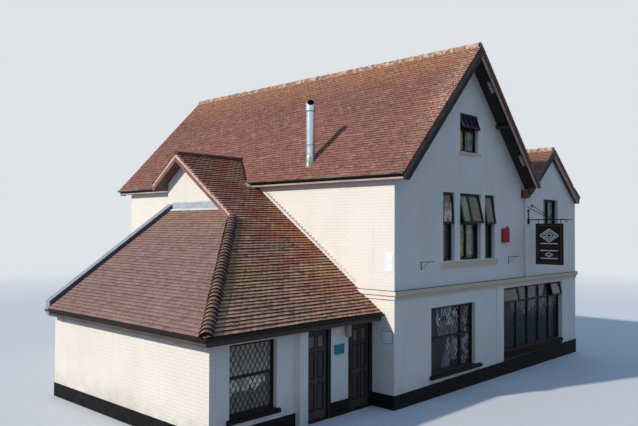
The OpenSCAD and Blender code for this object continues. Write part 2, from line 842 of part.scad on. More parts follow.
module eaves_boards() {
    color([0.5, 0.36, 0.3]) placed() {
        difference() {
            across(-main_verge_over, eaves_stop_y)
                eaves_section(-main_eaves_over, main_eaves_z - fascia_drop, soffit_z, 0);
            under_south_slope(tile_layer);
        }
        across(eaves_start_y, main_d + main_verge_over)
            eaves_section(-main_eaves_over, main_eaves_z - fascia_drop, soffit_z, 0);
        across(-wing_verge_over, main_d + wing_verge_over)
            mirror([1, 0])
                eaves_section(-wing_toe_x, wing_top(wing_toe_x) - fascia_drop,
                    wing_under(wing_toe_x) - fascia_t, -full_w);
        intersection() {
            along(low_toe_x - fascia_t, 0)
                low_eaves_section(low_toe_y, low_front_over);
            beside_mitre(low_toe_x, low_toe_y, -1);
        }
        intersection() {
            across(low_toe_y - fascia_t, kerb_y0)
                low_eaves_section(low_toe_x, low_end_over);
            beside_mitre(low_toe_x, low_toe_y, 1);
        }
    }
}

// Fascia and level soffit of the lower range, for a slab edge at u
module low_eaves_section(u, over) {
    foot_z = low_eaves_z - low_v;
    polygon([[u - fascia_t, low_eaves_z - fascia_drop], [u, low_eaves_z - fascia_drop], [u, foot_z],
        [u + fascia_t / low_k + 4 * seat, foot_z + fascia_t], [u + over, foot_z + fascia_t],
        [u + over, foot_z], [u - fascia_t, foot_z]]);
}

// Section of a gutter that hangs on a fascia at u 0 and opens upwards
module gutter_section() {
    gutter_wall = 7;
    difference() {
        union() {
            translate([gutter_w / 2, 0]) circle(d = gutter_w, $fn = 32);
            translate([0, -gutter_w / 4]) square([gutter_w / 2, gutter_w / 4]);
        }
        translate([gutter_w / 2, 0]) circle(d = gutter_w - 2 * gutter_wall, $fn = 32);
        translate([-e, 0]) square([gutter_w + 2 * e, gutter_w]);
    }
}

module gutters() {
    color([0.1, 0.1, 0.11]) placed() {
        for (y = [[-main_verge_over, eaves_stop_y], [eaves_start_y, main_d + main_verge_over]])
            across(y[0], y[1])
                translate([-main_eaves_over - fascia_t, main_eaves_z - gutter_drop])
                    mirror([1, 0]) gutter_section();
        across(-wing_verge_over, main_d + wing_verge_over)
            translate([wing_toe_x + fascia_t, wing_top(wing_toe_x) - gutter_drop])
                gutter_section();
        intersection() {
            along(low_toe_x - fascia_t - gutter_w, 0)
                translate([low_toe_y - fascia_t, low_eaves_z - gutter_drop])
                    mirror([1, 0]) gutter_section();
            beside_mitre(low_toe_x, low_toe_y, -1);
        }
        intersection() {
            across(low_toe_y - fascia_t - gutter_w, kerb_y0)
                translate([low_toe_x - fascia_t, low_eaves_z - gutter_drop])
                    mirror([1, 0]) gutter_section();
            beside_mitre(low_toe_x, low_toe_y, 1);
        }
    }
}

// Hopper under the valley, with its pipe down to the string course
module rainwater_pipes() {
    pipe_d = 75;
    wall_gap = 20;
    clear = 5;
    floor_w = 270;
    hopper_h = 270;
    hopper_drop = 113;
    lip = [60, 40];
    // The hopper starts this far on the main block's side of the joint between the blocks
    hopper_in = 180;
    x0 = main_w - hopper_in;
    pipe_x = x0 + floor_w - wall_gap - pipe_d * 2 / 3;
    floor_z = hopper_top_z - hopper_drop;
    rim_z = floor_z + hopper_h;
    lip_x = valley_x + lip[0];
    rim_x = main_ridge_x + (main_ridge_z - main_v - clear - rim_z) / main_k;
    sheet = 10;
    color([0.82, 0.79, 0.74]) placed() {
        translate([pipe_x, -pipe_d / 2 - wall_gap, string_z + lead_t])
            cylinder(d = pipe_d, h = floor_z - seat - string_z - lead_t, $fn = 32);
        difference() {
            across(-hopper_out, 0)
                polygon([[x0, floor_z], [x0 + floor_w, floor_z], [lip_x, hopper_top_z - lip[1]],
                    [lip_x, hopper_top_z], [valley_x, hopper_top_z], [rim_x, rim_z], [x0, rim_z]]);
            block([x0 + sheet, x0 + floor_w - sheet], [sheet - hopper_out, -sheet],
                [floor_z + 60, rim_z + e]);
        }
    }
}

// A sill with a weathered top, between xs, with its top at z where it meets the wall
module sill(xs, out, h, z) {
    fall = out * 0.3;
    along(xs[0], xs[1])
        polygon([[-out, z - h], [0, z - h], [0, z], [-out, z - fall]]);
}

module upper_sills() {
    past = [-sill_past, sill_past];
    color("ivory") placed()
        for (side = [0, 1])
            translate([0, side * main_d, 0])
                mirror([0, side, 0]) {
                    sill([upper_windows[0][0] - long_sill_past, upper_windows[2][1] + sill_past],
                        sill_out, long_sill_h, upper_foot_z);
                    for (w = [upper_windows[3], upper_windows[4]])
                        sill([w[0], w[1]] + past, sill_out, sill_h, w[2]);
                }
}

module ground_sills() {
    past = [-sill_past, sill_past];
    stall_z = plinth_h + plinth_rise + 5;
    stall_out = 30;
    color([0.1, 0.1, 0.11]) placed() {
        sill([bay[0] - sill_past, bay[1] + bay_sill_past], sill_out + stall_out, sill_h, bay_foot_z);
        block([shop[0], shop[1]], [-stall_out, 0], [stall_z, shop_foot_z - sill_h]);
        sill([shop[0], shop[1]], sill_out, sill_h, shop_foot_z);
        translate([0, low_front, 0])
            sill([low_window[0], low_window[1]] + past, sill_out, sill_h, low_window_foot_z);
        translate([0, main_d, 0])
            mirror([0, 1, 0])
                for (w = [rear_windows[5], rear_windows[6]])
                    sill([w[0], w[1]] + past, sill_out, sill_h, w[2]);
    }
}

// Flat ring with bars: mullions at xs up to top and transoms at zs, drawn in X and Z
module frame_face(w, xs, zs, top, bar = bar_w) {
    difference() {
        rect([w[0], w[1]], [w[2], w[3]]);
        difference() {
            rect([w[0] + frame_w, w[1] - frame_w], [w[2] + frame_w, w[3] - frame_w]);
            for (x = xs)
                rect([x - bar / 2, x + bar / 2], [w[2], top]);
            for (z = zs)
                rect([w[0], w[1]], [z - bar / 2, z + bar / 2]);
        }
    }
}

// A fixed window frame in a wall whose face is at y: the ring is deeper than its bars,
// and the mullions rise to top
module window_frame(w, y, top) {
    across(y + reveal, y + reveal + bar_d)
        frame_face(w, w[5], [w[4]], top);
    across(y + reveal + bar_d, y + reveal + frame_d)
        frame_face(w, [], [], top);
}

// Fixed glass, left out above the transom behind each open light from gap[0] to gap[1]
module window_glass(w, y, gaps = []) {
    across(y + reveal + bar_d, y + reveal + bar_d + glass_t)
        difference() {
            rect([w[0] + frame_w, w[1] - frame_w], [w[2] + frame_w, w[3] - frame_w]);
            for (gap = gaps)
                rect(gap, [w[4], w[3]]);
        }
}

// What is drawn with its inner face at y 0, as an open light s that swings out from its head
module hung_as(s) {
    translate([0, reveal - seat, s[3]])
        rotate([-s[4], 0, 0])
            translate([0, 0, -s[3]])
                children();
}

// Top-hung lights that stand open, each a ring with its glazing bars in front of the glass
module top_lights() {
    color([0.1, 0.09, 0.09]) placed()
        for (s = open_lights)
            hung_as(s) {
                across(-sash_d, glass_front - sash_d)
                    frame_face(s, s[5], [], s[3], s[6]);
                across(glass_front - sash_d, 0)
                    frame_face(s, [], [], s[3]);
            }
}

module bay_window_frame() {
    color([0.1, 0.09, 0.09]) placed()
        window_frame(bay, 0, bay[3]);
}

module shop_front_frame() {
    color([0.1, 0.09, 0.09]) placed()
        window_frame(shop, 0, shop[3]);
}

module low_window_frame() {
    color([0.1, 0.09, 0.09]) placed()
        window_frame(low_window, low_front, low_window[3]);
}

// The mullions of windows with an open light stop at the transom
module upper_window_frames() {
    color([0.1, 0.09, 0.09]) placed()
        for (i = [0:len(upper_windows) - 1])
            window_frame(upper_windows[i], 0, upper_windows[i][i < len(light_angles) ? 4 : 3]);
}

module rear_window_frames() {
    color([0.1, 0.09, 0.09]) placed()
        translate([0, main_d, 0])
            mirror([0, 1, 0])
                for (w = rear_windows)
                    window_frame(w, 0, w[3]);
}

module street_glass() {
    edge = frame_w + seat;
    color([0.3, 0.35, 0.38]) placed() {
        for (i = [0:len(upper_windows) - 1])
            window_glass(upper_windows[i], 0, i < len(light_angles) ? [[0, full_w]] : []);
        window_glass(bay, 0);
        window_glass(shop, 0, [[shop[0], shop_mullions[0]], [shop_mullions[shop_lights - 2], shop[1]]]);
        window_glass(low_window, low_front);
        for (s = open_lights)
            hung_as(s)
                translate([0, glass_front + seat - sash_d, 0])
                    across(0, glass_t)
                        rect([s[0] + edge, s[1] - edge], [s[2] + edge, s[3] - edge]);
    }
}

module rear_glass() {
    color([0.3, 0.35, 0.38]) placed()
        translate([0, main_d, 0])
            mirror([0, 1, 0])
                for (w = rear_windows)
                    window_glass(w, 0);
}

// Room under the lower range's slabs, up to their undersides and clear of the main eaves
module low_envelope() {
    v = low_v + seat;
    difference() {
        intersection() {
            along(-low_w, 0)
                polygon([[low_front, 0], [low_back, 0], [low_back, low_top_y(low_back) - v],
                    [low_ridge_y, low_ridge_z - v], [low_front, low_top_y(low_front) - v]]);
            across(0, low_back)
                polygon([[-low_w, 0], [0, 0], [0, low_ridge_z], [-gablet_x, low_ridge_z],
                    [-gablet_x, low_top_x(-gablet_x) - v], [-low_w, low_top_x(-low_w) - v]]);
        }
        main_envelope(seat);
    }
}

module pilaster_block() {
    x1 = -2 * door_open_w - door_pier_w;
    block([x1 - pilaster_w, x1], [low_front - pilaster_d, low_front], [0, low_eaves_z - low_v - fascia_t]);
}

module door_wall() {
    x1 = -2 * door_open_w - door_pier_w;
    color("ivory") placed() {
        intersection() {
            low_envelope();
            across(low_front, low_front + wall_t)
                difference() {
                    rect([-low_w, x1], [0, big]);
                    window_holes([low_window]);
                }
        }
        pilaster_block();
    }
}

module door_pier() {
    color("ivory") placed()
        block([-door_open_w - door_pier_w, -door_open_w], [low_front, low_front + wall_t],
            [0, door_head_z]);
}

module door_lintel() {
    color("ivory") placed()
        intersection() {
            low_envelope();
            block([-2 * door_open_w - door_pier_w, 0], [low_front, low_front + wall_t], [door_head_z, big]);
        }
}

module low_end_wall() {
    color("ivory") placed()
        intersection() {
            low_envelope();
            block([-low_w, -low_w + wall_t], [low_front + wall_t, low_back - wall_t], [0, big]);
        }
}

module low_back_wall() {
    color("ivory") placed()
        intersection() {
            low_envelope();
            block([-low_w, 0], [low_back - wall_t, low_back], [0, big]);
        }
}

module gablet_wall() {
    foot_z = low_top_x(-gablet_x) - low_v;
    inner_y = low_back - wall_t;
    v = low_v + seat;
    color("ivory") placed()
        along(-gablet_x, -gablet_x + gablet_t)
            polygon([[hip_y(-gablet_x) + seat / low_k, foot_z], [inner_y, foot_z],
                [inner_y, low_top_y(inner_y) - v], [low_ridge_y, low_ridge_z - v]]);
}

module lead_kerb() {
    color([0.45, 0.47, 0.5]) placed()
        across(kerb_y0, low_back)
            polygon([[low_toe_x, low_eaves_z - low_v], [-gablet_x, low_top_x(-gablet_x) - low_v],
                [-gablet_x, low_top_x(-gablet_x) + kerb_h], [low_toe_x, low_eaves_z + kerb_h]]);
}

// Stepped flashing up the long wall, apron under the gablet, lead on the string course
module lead_flashings() {
    course = 75;
    run = course / low_k;
    past_string = 20;
    start_y = string_end_y + tile_layer / low_k + past_string;
    count = floor((soffit_z - 3 * course - low_top_y(start_y)) / course);
    apron_h = 210;
    color([0.5, 0.52, 0.54]) placed() {
        translate([0, 0, seat])
            along(-lead_t, 0)
                polygon(concat([[start_y + count * run, low_top_y(start_y + count * run)],
                    [start_y, low_top_y(start_y)]],
                    [for (i = [0:count - 1]) for (s = [0, 1])
                        [start_y + (i + s) * run, low_top_y(start_y + i * run) + 3 * course]]));
        block([-gablet_x - lead_t, -gablet_x],
            [hip_y(-gablet_x) + (low_v + apron_h) / low_k + 4 * seat, kerb_y0],
            [low_top_x(-gablet_x), low_top_x(-gablet_x) + apron_h]);
        translate([0, 0, string_z])
            linear_extrude(height = lead_t)
                polygon([[-string_out, -string_out], [full_w, -string_out], [full_w, 0], [0, 0],
                    [0, string_end_y], [-string_out, string_end_y]]);
    }
}

// Frames of the two doors: each is a pair of jambs, a head and a threshold
door_x = [-2 * door_open_w - door_pier_w, -door_open_w];
threshold_z = low_floor_z;
jamb_d = stop_d + leaf_gap + leaf_t;
leaf_w = door_open_w - 2 * jamb_w - 2 * leaf_gap;
leaf_z0 = threshold_z + leaf_gap;
leaf_z1 = door_head_z - head_h - leaf_gap;
leaf_y = low_front + stop_d + leaf_gap;
// The hinges stand on the inner faces of jamb and leaf, a little clear of both
hinge_x = jamb_w + leaf_gap / 2;
hinge_y = low_front + jamb_d + knuckle_r + 0.5;
hinge_end = 150;
hinge_z = [leaf_z0 + hinge_end, (leaf_z0 + leaf_z1 - hinge_h) / 2, leaf_z1 - hinge_end - hinge_h];
knuckle_gap = 0.3;

// One third of a hinge: a knuckle with its plate, which lies on the jamb (side -1)
// or on the leaf (side 1)
module knuckle(side, z0, h) {
    plate_w = 26;
    plate_t = 3;
    translate([hinge_x, hinge_y, z0]) {
        cylinder(r = knuckle_r, h = h, $fn = 24);
        translate([side < 0 ? -plate_w : 0, -knuckle_r - 0.5, 0])
            cube([plate_w, plate_t, h]);
    }
}

module fixed_knuckles() {
    for (z = hinge_z) {
        knuckle(-1, z, hinge_h / 3);
        knuckle(-1, z + hinge_h * 2 / 3, hinge_h / 3);
    }
}

module leaf_knuckles() {
    for (z = hinge_z)
        knuckle(1, z + hinge_h / 3 + knuckle_gap, hinge_h / 3 - 2 * knuckle_gap);
}

// The left door hangs on its left jamb and the right door on its right jamb
module door_jambs() {
    color([0.13, 0.1, 0.09]) placed()
        for (i = [0, 1])
            for (side = [0, 1])
                translate([door_x[i] + side * door_open_w, 0, 0])
                    mirror([side, 0, 0]) {
                        translate([0, low_front, 0])
                            linear_extrude(height = door_head_z - head_h)
                                polygon([[0, 0], [jamb_w + stop_cover, 0], [jamb_w + stop_cover, stop_d],
                                    [jamb_w, stop_d], [jamb_w, jamb_d], [0, jamb_d]]);
                        if (side == i) fixed_knuckles();
                    }
}

module door_heads() {
    far = door_open_w - jamb_w;
    color([0.13, 0.1, 0.09]) placed()
        for (x = door_x)
            translate([x, low_front, 0]) {
                block([0, door_open_w], [0, jamb_d], [door_head_z - head_h, door_head_z]);
                block([jamb_w + stop_cover, far - stop_cover], [0, stop_d],
                    [door_head_z - head_h - stop_cover, door_head_z - head_h]);
                linear_extrude(height = threshold_z)
                    polygon([[jamb_w + stop_cover, 0], [far - stop_cover, 0], [far - stop_cover, stop_d],
                        [far, stop_d], [far, jamb_d], [door_open_w, jamb_d], [door_open_w, wall_t],
                        [0, wall_t], [0, jamb_d], [jamb_w, jamb_d], [jamb_w, stop_d],
                        [jamb_w + stop_cover, stop_d]]);
            }
}

// A panelled leaf with its knuckles, hung at the left of an opening that starts at x 0
module leaf() {
    stile = 105;
    muntin = 90;
    fielding = 12;
    margin = 32;
    raised = 8;
    rows = [[leaf_z0 + 200, leaf_z0 + 790], [leaf_z0 + 900, leaf_z1 - 460],
        [leaf_z1 - 380, leaf_z1 - 100]];
    panel_w = (leaf_w - 2 * stile - muntin) / 2;
    translate([jamb_w + leaf_gap, leaf_y, 0]) {
        difference() {
            translate([0, 0, leaf_z0])
                cube([leaf_w, leaf_t, leaf_z1 - leaf_z0]);
            for (row = rows)
                for (i = [0, 1])
                    for (y = [-e, leaf_t - fielding])
                        translate([stile + i * (panel_w + muntin), y, row[0]])
                            cube([panel_w, fielding + e, row[1] - row[0]]);
        }
        // The raised field in the middle of each panel, proud on both faces
        for (row = rows)
            for (i = [0, 1])
                translate([stile + i * (panel_w + muntin) + margin, fielding - raised, row[0] + margin])
                    cube([panel_w - 2 * margin, leaf_t - 2 * fielding + 2 * raised,
                        row[1] - row[0] - 2 * margin]);
    }
    leaf_knuckles();
}

module left_door() {
    color([0.16, 0.12, 0.1]) placed()
        translate([door_x[0], 0, 0]) leaf();
}

module right_door() {
    color([0.16, 0.12, 0.1]) placed()
        translate([door_x[1] + door_open_w, 0, 0])
            mirror([1, 0, 0]) leaf();
}

// Stainless flue that stands on the slope: lead skirt, seam, collar and a domed cowl
// whose mouth looks out to the street corner
module flue() {
    r = flue_d / 2;
    wall = 6;
    cowl_r = r + 2 * wall;
    dome_z = flue_top_z - cowl_r;
    skirt_r = r + 45;
    skirt_h = 220;
    foot_z = main_top(flue_x);
    skirt_z = [foot_z - 2 * skirt_r, foot_z - skirt_r, foot_z + skirt_h];
    band_h = 30;
    seam_z = [foot_z + 2 * skirt_h, foot_z + 2 * skirt_h + band_h];
    collar_h = 170;
    collar_z = [dome_z - collar_h, dome_z - collar_h + band_h];
    bore_z = seam_z[1];
    mouth_r = 96;
    mouth_back = 30;
    mouth_tilt = 58;
    color([0.75, 0.77, 0.8]) placed()
        difference() {
            translate([flue_x, flue_y, 0])
                rotate_extrude($fn = 48)
                    polygon(concat([[0, skirt_z[0]], [skirt_r, skirt_z[0]], [skirt_r, skirt_z[1]],
                        [r + wall, skirt_z[2]], [r, skirt_z[2]],
                        [r, seam_z[0]], [r + wall, seam_z[0]], [r + wall, seam_z[1]], [r, seam_z[1]],
                        [r, collar_z[0]], [cowl_r + wall, collar_z[0]], [cowl_r + wall, collar_z[1]],
                        [cowl_r, collar_z[1]]],
                        [for (a = [0:15:90]) [cowl_r * cos(a), dome_z + cowl_r * sin(a)]]));
            translate([flue_x, flue_y, bore_z])
                cylinder(r = r - wall, h = dome_z - bore_z, $fn = 48);
            translate([flue_x, flue_y, dome_z])
                rotate([0, mouth_tilt, 225])
                    translate([0, 0, -mouth_back])
                        cylinder(r = mouth_r, h = 2 * cowl_r, $fn = 32);
            across(0, 2 * flue_y)
                polygon([[-big, main_top(-big) + seat], [main_ridge_x, main_ridge_z + seat],
                    [main_ridge_x, 0], [-big, -big]]);
        }
}

// Iron bracket that carries the sign, with its stays, and the two that carry baskets
sign_bar_d = 30;
module iron_brackets() {
    tip = 320;
    post_d = 32;
    post_z = [sign_bar_z - 135, sign_bar_z + 262];
    // Each stay's boss, measured from the sign's bar along the wall and up it
    boss_at = [[-164, 417], [276, 439]];
    boss_d = 70;
    boss_h = 25;
    stay_d = 20;
    stay_y = [-740, -800];
    scroll_y = -1215;
    scroll_r = 38;
    ball_r = 34;
    post_y = -ball_r - 2;
    seat_w = 60;
    seat_out = 60;
    color([0.08, 0.08, 0.09]) placed() {
        translate([sign_x, 0, sign_bar_z])
            rotate([90, 0, 0]) {
                cylinder(d = sign_bar_d, h = sign_bar_out - tip, $fn = 32);
                translate([0, 0, sign_bar_out - tip])
                    cylinder(d1 = sign_bar_d, d2 = sign_bar_d / 3, h = tip, $fn = 32);
            }
        rod([sign_x, post_y, post_z[0]], [sign_x, post_y, post_z[1]], post_d);
        translate([sign_x, post_y, post_z[1] + ball_r / 2]) sphere(r = ball_r, $fn = 24);
        block([sign_x - seat_w / 2, sign_x + seat_w / 2], [-seat_out, 0],
            [post_z[0], sign_bar_z + seat_w / 2]);
        for (i = [0, 1])
            translate([sign_x, 0, sign_bar_z]) {
                translate([boss_at[i][0], 0, boss_at[i][1]])
                    rotate([90, 0, 0]) cylinder(d = boss_d, h = boss_h, $fn = 24);
                rod([boss_at[i][0], -boss_h / 2, boss_at[i][1]], [0, stay_y[i], 3], stay_d);
            }
        translate([0, scroll_y, sign_bar_z - scroll_r - 6])
            along(sign_x - 5, sign_x + 5)
                difference() {
                    circle(r = scroll_r, $fn = 32);
                    circle(r = scroll_r - 10, $fn = 32);
                }
        for (x = basket_x)
            basket_bracket(x);
    }
}

// A strap on the wall with an arm that rises a little and a brace under it
module basket_bracket(x) {
    strap_z = [basket_z - 205, basket_z + 5];
    strap_w = 24;
    reach = 385;
    rise = 20;
    block([x - strap_w / 2, x + strap_w / 2], [-8, 0], strap_z);
    rod([x, -3, basket_z - 10], [x, -reach, basket_z + rise], 14);
    rod([x, -6, strap_z[0] + 15], [x, -reach * 0.6, basket_z + 2], 10);
}

// The hanging board with the rings by which it hangs on the bar and swings
module sign_board() {
    ring_in = sign_bar_d + 10;
    ring_out = ring_in + 20;
    ring_w = 16;
    hang = 115;
    ring_z = sign_bar_z - (ring_in - sign_bar_d) / 2 + 0.3;
    board_top = sign_bar_z - hang;
    board_y1 = -267;
    rings_at = [0.1, 0.43, 0.68, 0.91];
    color([0.14, 0.11, 0.11]) placed() {
        block([sign_x - board_t / 2, sign_x + board_t / 2], [board_y1 - board_w, board_y1],
            [board_top - board_h, board_top]);
        for (part = rings_at)
            translate([sign_x, board_y1 - part * board_w, 0])
                difference() {
                    union() {
                        translate([0, ring_w / 2, ring_z])
                            rotate([90, 0, 0]) cylinder(d = ring_out, h = ring_w, $fn = 32);
                        block([-ring_w / 2, ring_w / 2], [-ring_w / 2, ring_w / 2], [board_top - e, ring_z]);
                    }
                    translate([0, ring_w, ring_z])
                        rotate([90, 0, 0]) cylinder(d = ring_in, h = 2 * ring_w, $fn = 32);
                }
    }
}

// Alarm box with a small round lamp on its top
module alarm_box() {
    lamp_h = 50;
    color("firebrick") placed() {
        block([alarm_x, alarm_x + alarm_w], [-alarm_out, 0], [alarm_z, alarm_z + alarm_h]);
        translate([alarm_x + alarm_w - alarm_lamp_d, -alarm_out / 2, alarm_z + alarm_h - e])
            cylinder(d = alarm_lamp_d, h = lamp_h, $fn = 32);
    }
}

ground_street_wall();
upper_street_wall();
west_wall();
east_wall();
valley_wall();
rear_wall();
ground_floors();
upper_floors();
plinth();
string_course();
main_west_slope();
main_east_slope();
wing_west_slope();
wing_east_slope();
low_south_slope();
low_hip_slope();
low_north_slope();
ridge_tiles();
bonnet_tiles();
main_barge_boards();
wing_barge_boards();
gablet_barge_boards();
purlin_ends();
eaves_boards();
gutters();
rainwater_pipes();
upper_sills();
ground_sills();
bay_window_frame();
shop_front_frame();
low_window_frame();
upper_window_frames();
top_lights();
rear_window_frames();
street_glass();
rear_glass();
door_wall();
door_pier();
door_lintel();
low_end_wall();
low_back_wall();
gablet_wall();
lead_kerb();
lead_flashings();
door_jambs();
door_heads();
left_door();
right_door();
flue();
iron_brackets();
sign_board();
alarm_box();
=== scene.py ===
"""The looks of a painted village inn, laid round its construction frame.

All lengths are in metres. Places on the building are written from its street corner, at the
foot of the long wall: X along the street, Y away from it and Z up. CORNER turns them into the
row frame. A roof slope has its own coordinates: u along its eaves, s up it and h square to it.
"""
import json
import math
import random
from functools import partialmethod

import bmesh
import bpy
import numpy as np
from mathutils import Matrix, Vector


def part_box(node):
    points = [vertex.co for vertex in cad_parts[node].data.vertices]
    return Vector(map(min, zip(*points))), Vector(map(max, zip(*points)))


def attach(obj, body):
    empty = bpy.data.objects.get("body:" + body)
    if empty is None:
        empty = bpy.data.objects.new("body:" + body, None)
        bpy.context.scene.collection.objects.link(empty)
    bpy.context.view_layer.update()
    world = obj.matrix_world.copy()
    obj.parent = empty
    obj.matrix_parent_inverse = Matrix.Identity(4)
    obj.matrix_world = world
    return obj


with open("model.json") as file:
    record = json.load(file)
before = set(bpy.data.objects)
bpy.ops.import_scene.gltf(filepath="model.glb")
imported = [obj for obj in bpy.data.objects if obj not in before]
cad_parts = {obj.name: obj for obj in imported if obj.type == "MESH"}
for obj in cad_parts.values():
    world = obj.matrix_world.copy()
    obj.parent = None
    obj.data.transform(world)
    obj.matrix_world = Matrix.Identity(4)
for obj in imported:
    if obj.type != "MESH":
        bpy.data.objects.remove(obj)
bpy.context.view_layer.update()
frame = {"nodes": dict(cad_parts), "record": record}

CORNER = Vector((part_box("west_wall")[0].x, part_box("ground_street_wall")[0].y, 0.0))

# Camera, fitted to the photograph
EYE = Vector((-12.471, -9.364, 4.231))
YAW = 0.81259
PITCH = 0.021573
ROLL = 0.00349
FOCAL_PIXELS = 666.6
PHOTO_WIDTH = 638
SENSOR = 36.0

# Light, and the floor's half width and its depth below the ground
SUN_FROM = Vector((-0.811, 0.307, 0.497))
SUN_STRENGTH = 3.4
SUN_COLOUR = (1.0, 0.94, 0.86)
SKY_STRENGTH = 0.53
SKY_COLOUR = (0.4, 0.62, 1.0, 1.0)
BACKDROP = "dfe4e8"
FLOOR_REACH = 150.0
FLOOR_DROP = 0.002

# Plain roof tiles. A build is their height at the front and the back, and their thickness
TILE_W = 0.165
TILE_LENGTH = 0.155
TILE_GAP = 0.0024
TILE_CAMBER = 0.004
GAUGE = 0.1
LOW_GAUGE = 0.104
FLAT_BUILD = (0.04, 0.019, 0.014)
ROUGH_BUILD = (0.058, 0.018, 0.024)
# Least width and length of a cut tile
LEAST_TILE = (0.02, 0.03)
# How far the first course passes the slab, and how far up one starts where no eaves shows
EAVES_DROP = 0.04
HIGH_START = 0.06
# How far tiles pass a verge, and how far they stop short of a ridge
VERGE = 0.045
RIDGE_COVER = 0.03
# How far the lower tiles stop short of the long wall, the main eaves and the kerb
WALL_GAP = 0.008
EAVES_GAP = 0.006
KERB_GAP = 0.004
# Widest rows of the two lower slopes that end at the long wall
SOUTH_WIDTH = 6.0
NORTH_WIDTH = 3.0
# Length in X plus Y of a ridge tile of the main roof, and of a bonnet tile of the hip
RIDGE_STEP = 0.4556
BONNET_STEP = 0.17568

# The two tall gables: top of the ridge, steepness, and depth of the brown on their boards
MAIN_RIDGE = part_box("main_west_slope")[1] - CORNER
MAIN_RISE = 1.03553
MAIN_BOARD = 0.2
WING_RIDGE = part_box("wing_west_slope")[1] - CORNER
WING_RISE = 0.78129
WING_BOARD = 0.14
# Depth of the paler part below it, right of a ridge, a painted highlight on the boards' lower edge
LIT_EDGE_BOARD = 0.14
# Depth of the main fascia and soffit below the top of the slab
MAIN_FASCIA = 0.16
# The hipped roof: Y and Z of its ridge, its steepness, and the depth of its pale verge
LOW_RIDGE = (6.175, 6.237)
LOW_RISE = 0.7002
PALE_VERGE = 0.075
# Where moss is thick on the lower roof, in a large patch and a small one
LARGE_MOSS = (-3.06, 1.82, 3.26)
SMALL_MOSS = (-1.06, 1.05, 2.72)

# Heights between which a finish differs, and heights at which one changes
FASCIA_SHADE = (5.39, 5.5)
GUTTER_RIM = (5.46, 5.5)
MIDDLE_PURLIN = (6.85, 7.6)
WINDOW_FEET = (0.5, 0.7)
STRING_LEAD = (2.7, 2.76)
FLUE_SEAMS = ((6.4, 6.418), (7.3, 7.32))
HIGH_EAVES = 3.0
HIGH_CLAY = 6.5
HOPPER_FOOT = 5.128
HOPPER_RIM = 5.36
# Y up to which the black feet and the string's lead reach, and from which lead is the kerb's
BLACK_REACH = 1.5
STRING_REACH = 1.2
KERB_START = 6.77
# The shop front's ends in X and the height of its foot, below which the wall is black
SHOP_ENDS = (5.2, 9.1)
SHOP_FOOT = 0.66
BLACK_PAINT = "0c0e11"
# Place of the flue's dome, the radius of its shell there and the radius of its bore
DOME = (0.21, 2.965, 7.498)
DOME_SHELL = 0.1255
FLUE_BORE = 0.112


def srgb(text):
    """A written colour, such as c8b9a0, as the linear colour that a shader takes."""
    channels = [int(text[i:i + 2], 16) / 255 for i in (0, 2, 4)]
    linear = [c / 12.92 if c <= 0.04045 else ((c + 0.055) / 1.055) ** 2.4 for c in channels]
    return (*linear, 1.0)


class Nodes:
    """Shader nodes in one tree."""

    def __init__(self, tree):
        self.tree = tree

    def add(self, kind, inputs=None, **settings):
        """A node of one kind, with its sockets set or linked."""
        node = self.tree.nodes.new("ShaderNode" + kind)
        for key, value in settings.items():
            setattr(node, key, value)
        for key, value in (inputs or {}).items():
            if isinstance(value, bpy.types.NodeSocket):
                self.tree.links.new(value, node.inputs[key])
            else:
                node.inputs[key].default_value = value
        return node

    def math(self, operation, first, *others):
        """An operation on one value, or on several from the left on."""
        for value in others or (0.0,):
            first = self.add("Math", {0: first, 1: value}, operation=operation).outputs[0]
        return first

    most = partialmethod(math, "MAXIMUM")
    times = partialmethod(math, "MULTIPLY")
    plus = partialmethod(math, "ADD")
    minus = partialmethod(math, "SUBTRACT")
    above = partialmethod(math, "GREATER_THAN")
    below = partialmethod(math, "LESS_THAN")

    def plain_sight(self):
        """1 on the rays that show the backdrop: from the camera, mirrored or through glass."""
        rays = self.add("LightPath").outputs
        return self.most(*(rays[f"Is {kind} Ray"] for kind in ("Camera", "Glossy", "Transmission")))


